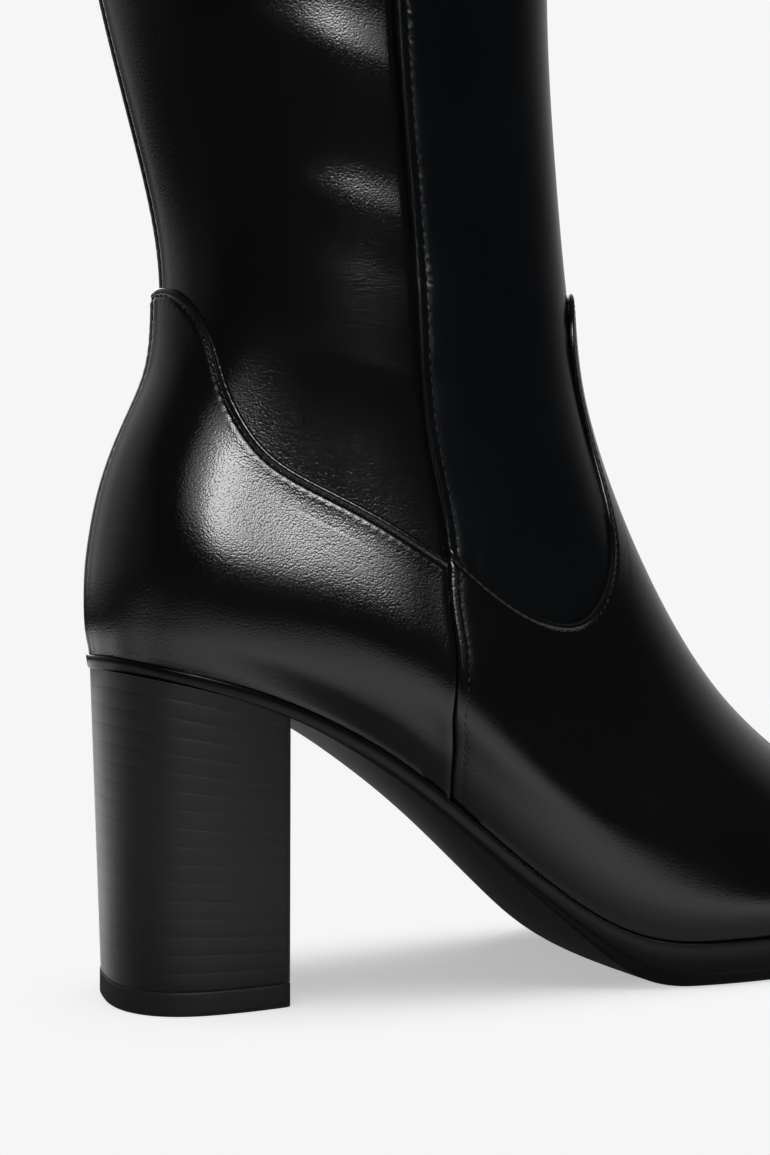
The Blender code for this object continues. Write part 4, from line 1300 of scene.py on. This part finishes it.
def heel_outline(grow, corner):
    """Closed ring of the heel seen from above, its front corners rounded by an arc of radius corner."""
    front = HEEL_DEPTH / 2
    half = HEEL_WIDTH / 2 + grow
    round_depth = HEEL_DEPTH * HEEL_ROUND_SHARE
    straight = HEEL_DEPTH - round_depth
    angle = np.linspace(0, math.pi / 2, 90)
    back_x = front - straight - (round_depth + grow) * np.cos(angle) ** (2 / HEEL_ROUNDNESS)
    back_y = half * np.sin(angle) ** (2 / HEEL_ROUNDNESS)
    share = np.linspace(0, 1, 60)[1:]
    side_x = front - straight * (1 - share)
    side_y = half - HEEL_DRAW_IN * share**2
    keep = side_x < front - corner
    turn = np.linspace(0, math.pi / 2, 8)
    corner_x = front - corner + corner * np.sin(turn)
    corner_y = side_y[-1] - corner + corner * np.cos(turn)
    breast_y = np.linspace(corner_y[-1], 0, 30)[1:]
    x = np.concatenate([back_x, side_x[keep], corner_x, np.full(29, front)])
    y = np.concatenate([back_y, side_y[keep], corner_y, breast_y])
    way = walked(np.column_stack([x, y, 0 * x]))
    even = np.linspace(0, way[-1], HEEL_ROUND // 2 + 1)
    corner_at = np.interp([front - corner], x[: 89 + keep.sum()], way[: 89 + keep.sum()])[0]
    even[np.abs(even - corner_at).argmin()] = corner_at
    x, y = np.interp(even, way, x), np.interp(even, way, y)
    return np.append(x, x[-2:0:-1]), np.append(-y, y[-2:0:-1])


def closed_ends(rings):
    """Side grid of stacked rings and a flat grid over each end."""
    rings = np.stack(rings)
    parts = [(rings, grid_faces(*rings.shape[:2], closed=True))]
    for row, way in ((0, 1), (-1, -1)):
        cap = fill_ring(rings[row], 13)
        parts.append((cap, grid_faces(*cap.shape[:2])[:, ::way]))
    return parts


def block_ring(share, inset):
    """Ring of the heel block. share: 0 at the top piece, 1 under the seat. inset: how far it lies in."""
    x, y = heel_outline(-inset, 0.7 * MM)
    behind = np.clip((HEEL_DEPTH / 2 - x) / HEEL_DEPTH, 0, 1)
    aside = y / (HEEL_WIDTH / 2)
    ring_x = x - HEEL_LEAN * behind * share
    ring_y = y + HEEL_SPREAD * aside * share
    bottom_z = TIP_THICKNESS + GAP * 0.6
    top_z = under_feather(ring_x, "wall") + 0.02 * MM
    return np.column_stack([ring_x, ring_y, bottom_z + share * (top_z - bottom_z)])


block_height = HEEL_HEIGHT - TIP_THICKNESS
layer_rows = [(0.0, 0.35), (0.0, 0.12), (0.0015, 0.03), (0.004, 0.0)]
for layer in np.arange(1, int(block_height / LAYER) + 1):
    middle = layer * LAYER / block_height
    for step, depth in LAYER_GROOVE:
        if middle + step * MM / block_height < 0.995:
            layer_rows.append((middle + step * MM / block_height, depth))
layer_rows.append((1.0, 0.0))
block_rings = [block_ring(share, depth * MM) for share, depth in layer_rows]
make_piece("heel_block_skin", closed_ends(block_rings), HEEL_STACK, "heel_stack", "heel_block")


def tip_ring(z, inset):
    """Ring of the top piece at height z."""
    x, y = heel_outline(TIP_REVEAL - inset, 0.8 * MM)
    return np.column_stack([x, y, np.full(len(x), z)])


tip_rings = [tip_ring(0.0, 0.45 * MM), tip_ring(0.12 * MM, 0.15 * MM), tip_ring(0.45 * MM, 0.0)]
tip_rings += [tip_ring(z * MM, 0.0) for z in (1.5, 3.0, 4.5, 5.5)]
tip_rings += [tip_ring(TIP_THICKNESS - 0.12 * MM, 0.05 * MM), tip_ring(TIP_THICKNESS, 0.25 * MM)]
make_piece("top_piece_skin", closed_ends(tip_rings), TIP_RUBBER, "sole_rubber", "top_piece")

# %% [markdown]
# ## Insole
# The insole's solid has the right shape and keeps its place at the bottom of the boot. It only gets the
# lining's woven finish.

# %% Insole finish
for thing in bpy.context.scene.objects:
    if thing.type == "MESH" and thing.name == "insole":
        for slot_number in range(len(thing.material_slots)):
            thing.material_slots[slot_number].material = LINING
        print("insole finished")

# %% [markdown]
# ## Floor
# A catalogue picture is taken on white paper that sweeps up behind the product. Seen directly it is an even
# pale grey. Part of that grey is the paper's own light and part answers to the room, so the boot leaves a
# soft shadow in an oval patch round its feet. Reflections see painted light on the paper: two painted pools
# of light, one under and behind the boot and a small one to the left of the heel, a painted shadow on the
# paper beside the boot, and dark paper by the camera.

# %% Floor
PAPER = 0.9216  # the grey of the background, as a linear value
PAPER_TONE = 0.88  # how much light the paper throws back
GLOW = 0.44  # share of the background's grey that shadows don't touch
FLOOR_REACH = 30
OVAL_PLACE = (0.11, -0.004)  # middle of the patch of paper that shows the boot's soft shadow
OVAL = (0.185, 0.056)  # its half length and half width
OVAL_FADE = (0.40, 1.10)  # where it begins and ends to fade, as shares of those
# The lit patches below are painted pools of light on the paper, seen only in reflections.
PAINTED_LIGHT_PLACE = (0.08, 0.36, 0.0)  # middle of the lit patch
PAINTED_LIGHT_REACH = (0.46, 0.74)  # where the patch begins and ends to fade
PAINTED_SIDE_LIGHT_PLACE = (-0.42, 0.0, 0.0)  # middle of the smaller lit patch
PAINTED_SIDE_LIGHT_REACH = (0.10, 0.30)
# Painted shadow: in reflections the paper beside the boot is darkened, standing for the boot's shade.
PAINTED_SHADE = (0.035, 0.115)  # the paper beside the boot is in its shade, up to here across


def paper_glow(tree, strength):
    """An even white light given off by the paper."""
    return add_node(tree, "ShaderNodeEmission", (("Color", (1, 1, 1, 1)), ("Strength", strength))).outputs[0]


def mix_shaders(tree, share, first, second):
    """The first shader where the share is 0 and the second where it is 1."""
    return add_node(tree, "ShaderNodeMixShader", ((0, share), (1, first), (2, second))).outputs[0]


def fade_out(tree, place, middle, reach, near, far):
    """A value that runs from near to far with the distance from a place."""
    away = add_node(tree, "ShaderNodeVectorMath", ((0, place), (1, middle)), operation="DISTANCE")
    return remap(tree, away.outputs["Value"], reach, (near, far), "SMOOTHSTEP")


floor_mesh = bpy.data.meshes.new("floor")
floor_corners = [(x * FLOOR_REACH, y * FLOOR_REACH, 0) for x, y in ((-1, -1), (1, -1), (1, 1), (-1, 1))]
floor_mesh.from_pydata(floor_corners, [], [(0, 1, 2, 3)])
floor = bpy.data.objects.new("floor", floor_mesh)
bpy.context.scene.collection.objects.link(floor)
paper = bpy.data.materials.new("paper")
paper.use_nodes = True
tree = paper.node_tree
tree.nodes.clear()
place = add_node(tree, "ShaderNodeTexCoord").outputs["Object"]
matt = add_node(tree, "ShaderNodeBsdfDiffuse", (("Color", (PAPER_TONE, PAPER_TONE, PAPER_TONE, 1)),))
both = add_node(tree, "ShaderNodeAddShader", ((0, matt.outputs[0]), (1, paper_glow(tree, GLOW))))
oval_start = ("Location", (-OVAL_PLACE[0] / OVAL[0], -OVAL_PLACE[1] / OVAL[1], 0))
oval_scale = ("Scale", (1 / OVAL[0], 1 / OVAL[1], 0))
oval = add_node(tree, "ShaderNodeMapping", (("Vector", place), oval_start, oval_scale)).outputs[0]
far_share = fade_out(tree, oval, (0.0, 0.0, 0.0), OVAL_FADE, 0.0, 1.0)
direct = mix_shaders(tree, far_share, both.outputs[0], paper_glow(tree, PAPER))
# Painted light seen only in reflections: pools of light on the paper under and behind the boot and to the
# left of the heel.
painted_light_pool = fade_out(tree, place, PAINTED_LIGHT_PLACE, PAINTED_LIGHT_REACH, 1.0, 0.02)
# beside: the smaller painted pool of light, to the left of the heel.
beside = fade_out(tree, place, PAINTED_SIDE_LIGHT_PLACE, PAINTED_SIDE_LIGHT_REACH, 0.6, 0.0)
across_floor = add_node(tree, "ShaderNodeSeparateXYZ", ((0, place),)).outputs["Y"]
# Painted shadow in the reflected light of the paper beside the boot.
painted_shade = remap(tree, math_node(tree, "ABSOLUTE", across_floor), PAINTED_SHADE, (0.12, 1.0), "SMOOTHSTEP")
painted_floor_light = paper_glow(tree, math_node(tree, "ADD", math_node(tree, "MULTIPLY", painted_light_pool, painted_shade), beside))
ray = add_node(tree, "ShaderNodeLightPath")
seen_by_gloss = mix_shaders(tree, ray.outputs["Is Glossy Ray"], paper_glow(tree, 0.35), painted_floor_light)
shown = mix_shaders(tree, ray.outputs["Is Camera Ray"], seen_by_gloss, direct)
add_node(tree, "ShaderNodeOutputMaterial", (("Surface", shown),))
floor_mesh.materials.append(paper)

# %% [markdown]
# ## Light
# A long softbox stands on the camera's side, a little above the boot: a row of soft spots, brightest a
# little to the left. A second one stands opposite, so that the inner side of the boot has its highlights
# too, and round the back the paper glows. All of this is a function of direction in the world's shader: the
# reflections see the studio, and the matt light is an even dome with a stronger patch overhead.

# %% Studio
LIGHT_COLUMNS = ("azimuth", "height", "core", "edge", "power")
LIGHTS = (
    (-5, 24, 0, 11, 23.0),
    (5, 23.5, 0, 11, 4.6),
    (14, 23, 0, 11, 2.4),
    (-15, 26, 0, 11, 2.8),
    (-25, 27, 0, 12, 2.0),
    (-98, 2, 6, 34, 0.10),
    (172, 22, 8, 22, 4.0),
    (180, 5, 30, 92, 0.62),
)
ROOM = 0.006  # what the reflections see between the lights
DOME = 0.17
TOP_LIGHT = 4.8
TOP_LIGHT_EDGE = 31  # degrees from straight up, where the patch overhead ends
TOP_LIGHT_CORE = 9


def cosine(degrees):
    """Cosine of an angle in degrees."""
    return math.cos(math.radians(degrees))


def aim_of(azimuth, height):
    """Unit vector from the boot. Azimuth 0 points to the camera's side, -Y, and 90 to the toe."""
    a, e = math.radians(azimuth), math.radians(height)
    return (math.sin(a) * math.cos(e), -math.cos(a) * math.cos(e), math.sin(e))


world = bpy.data.worlds.new("studio")
bpy.context.scene.world = world
world.use_nodes = True
tree = world.node_tree
tree.nodes.clear()
way = add_node(tree, "ShaderNodeTexCoord").outputs["Generated"]
total = ROOM
for row in LIGHTS:
    light = dict(zip(LIGHT_COLUMNS, row))
    aim = aim_of(light["azimuth"], light["height"])
    facing = add_node(tree, "ShaderNodeVectorMath", ((0, way), (1, aim)), operation="DOT_PRODUCT")
    cone = (cosine(light["edge"]), cosine(light["core"]))
    lobe = remap(tree, facing.outputs["Value"], cone, (0.0, light["power"]), "SMOOTHSTEP")
    total = math_node(tree, "ADD", total, lobe)
studio = add_node(tree, "ShaderNodeBackground", (("Strength", total),)).outputs[0]
above = add_node(tree, "ShaderNodeSeparateXYZ", ((0, way),)).outputs["Z"]
overhead = (cosine(TOP_LIGHT_EDGE), cosine(TOP_LIGHT_CORE))
top_light = remap(tree, above, overhead, (DOME, TOP_LIGHT), "SMOOTHSTEP")
dome = add_node(tree, "ShaderNodeBackground", (("Strength", top_light),)).outputs[0]
backdrop = add_node(tree, "ShaderNodeBackground", (("Color", (PAPER, PAPER, PAPER, 1)),)).outputs[0]
ray = add_node(tree, "ShaderNodeLightPath")
unseen = mix_shaders(tree, ray.outputs["Is Glossy Ray"], dome, studio)
shown = mix_shaders(tree, ray.outputs["Is Camera Ray"], unseen, backdrop)
add_node(tree, "ShaderNodeOutputWorld", (("Surface", shown),))
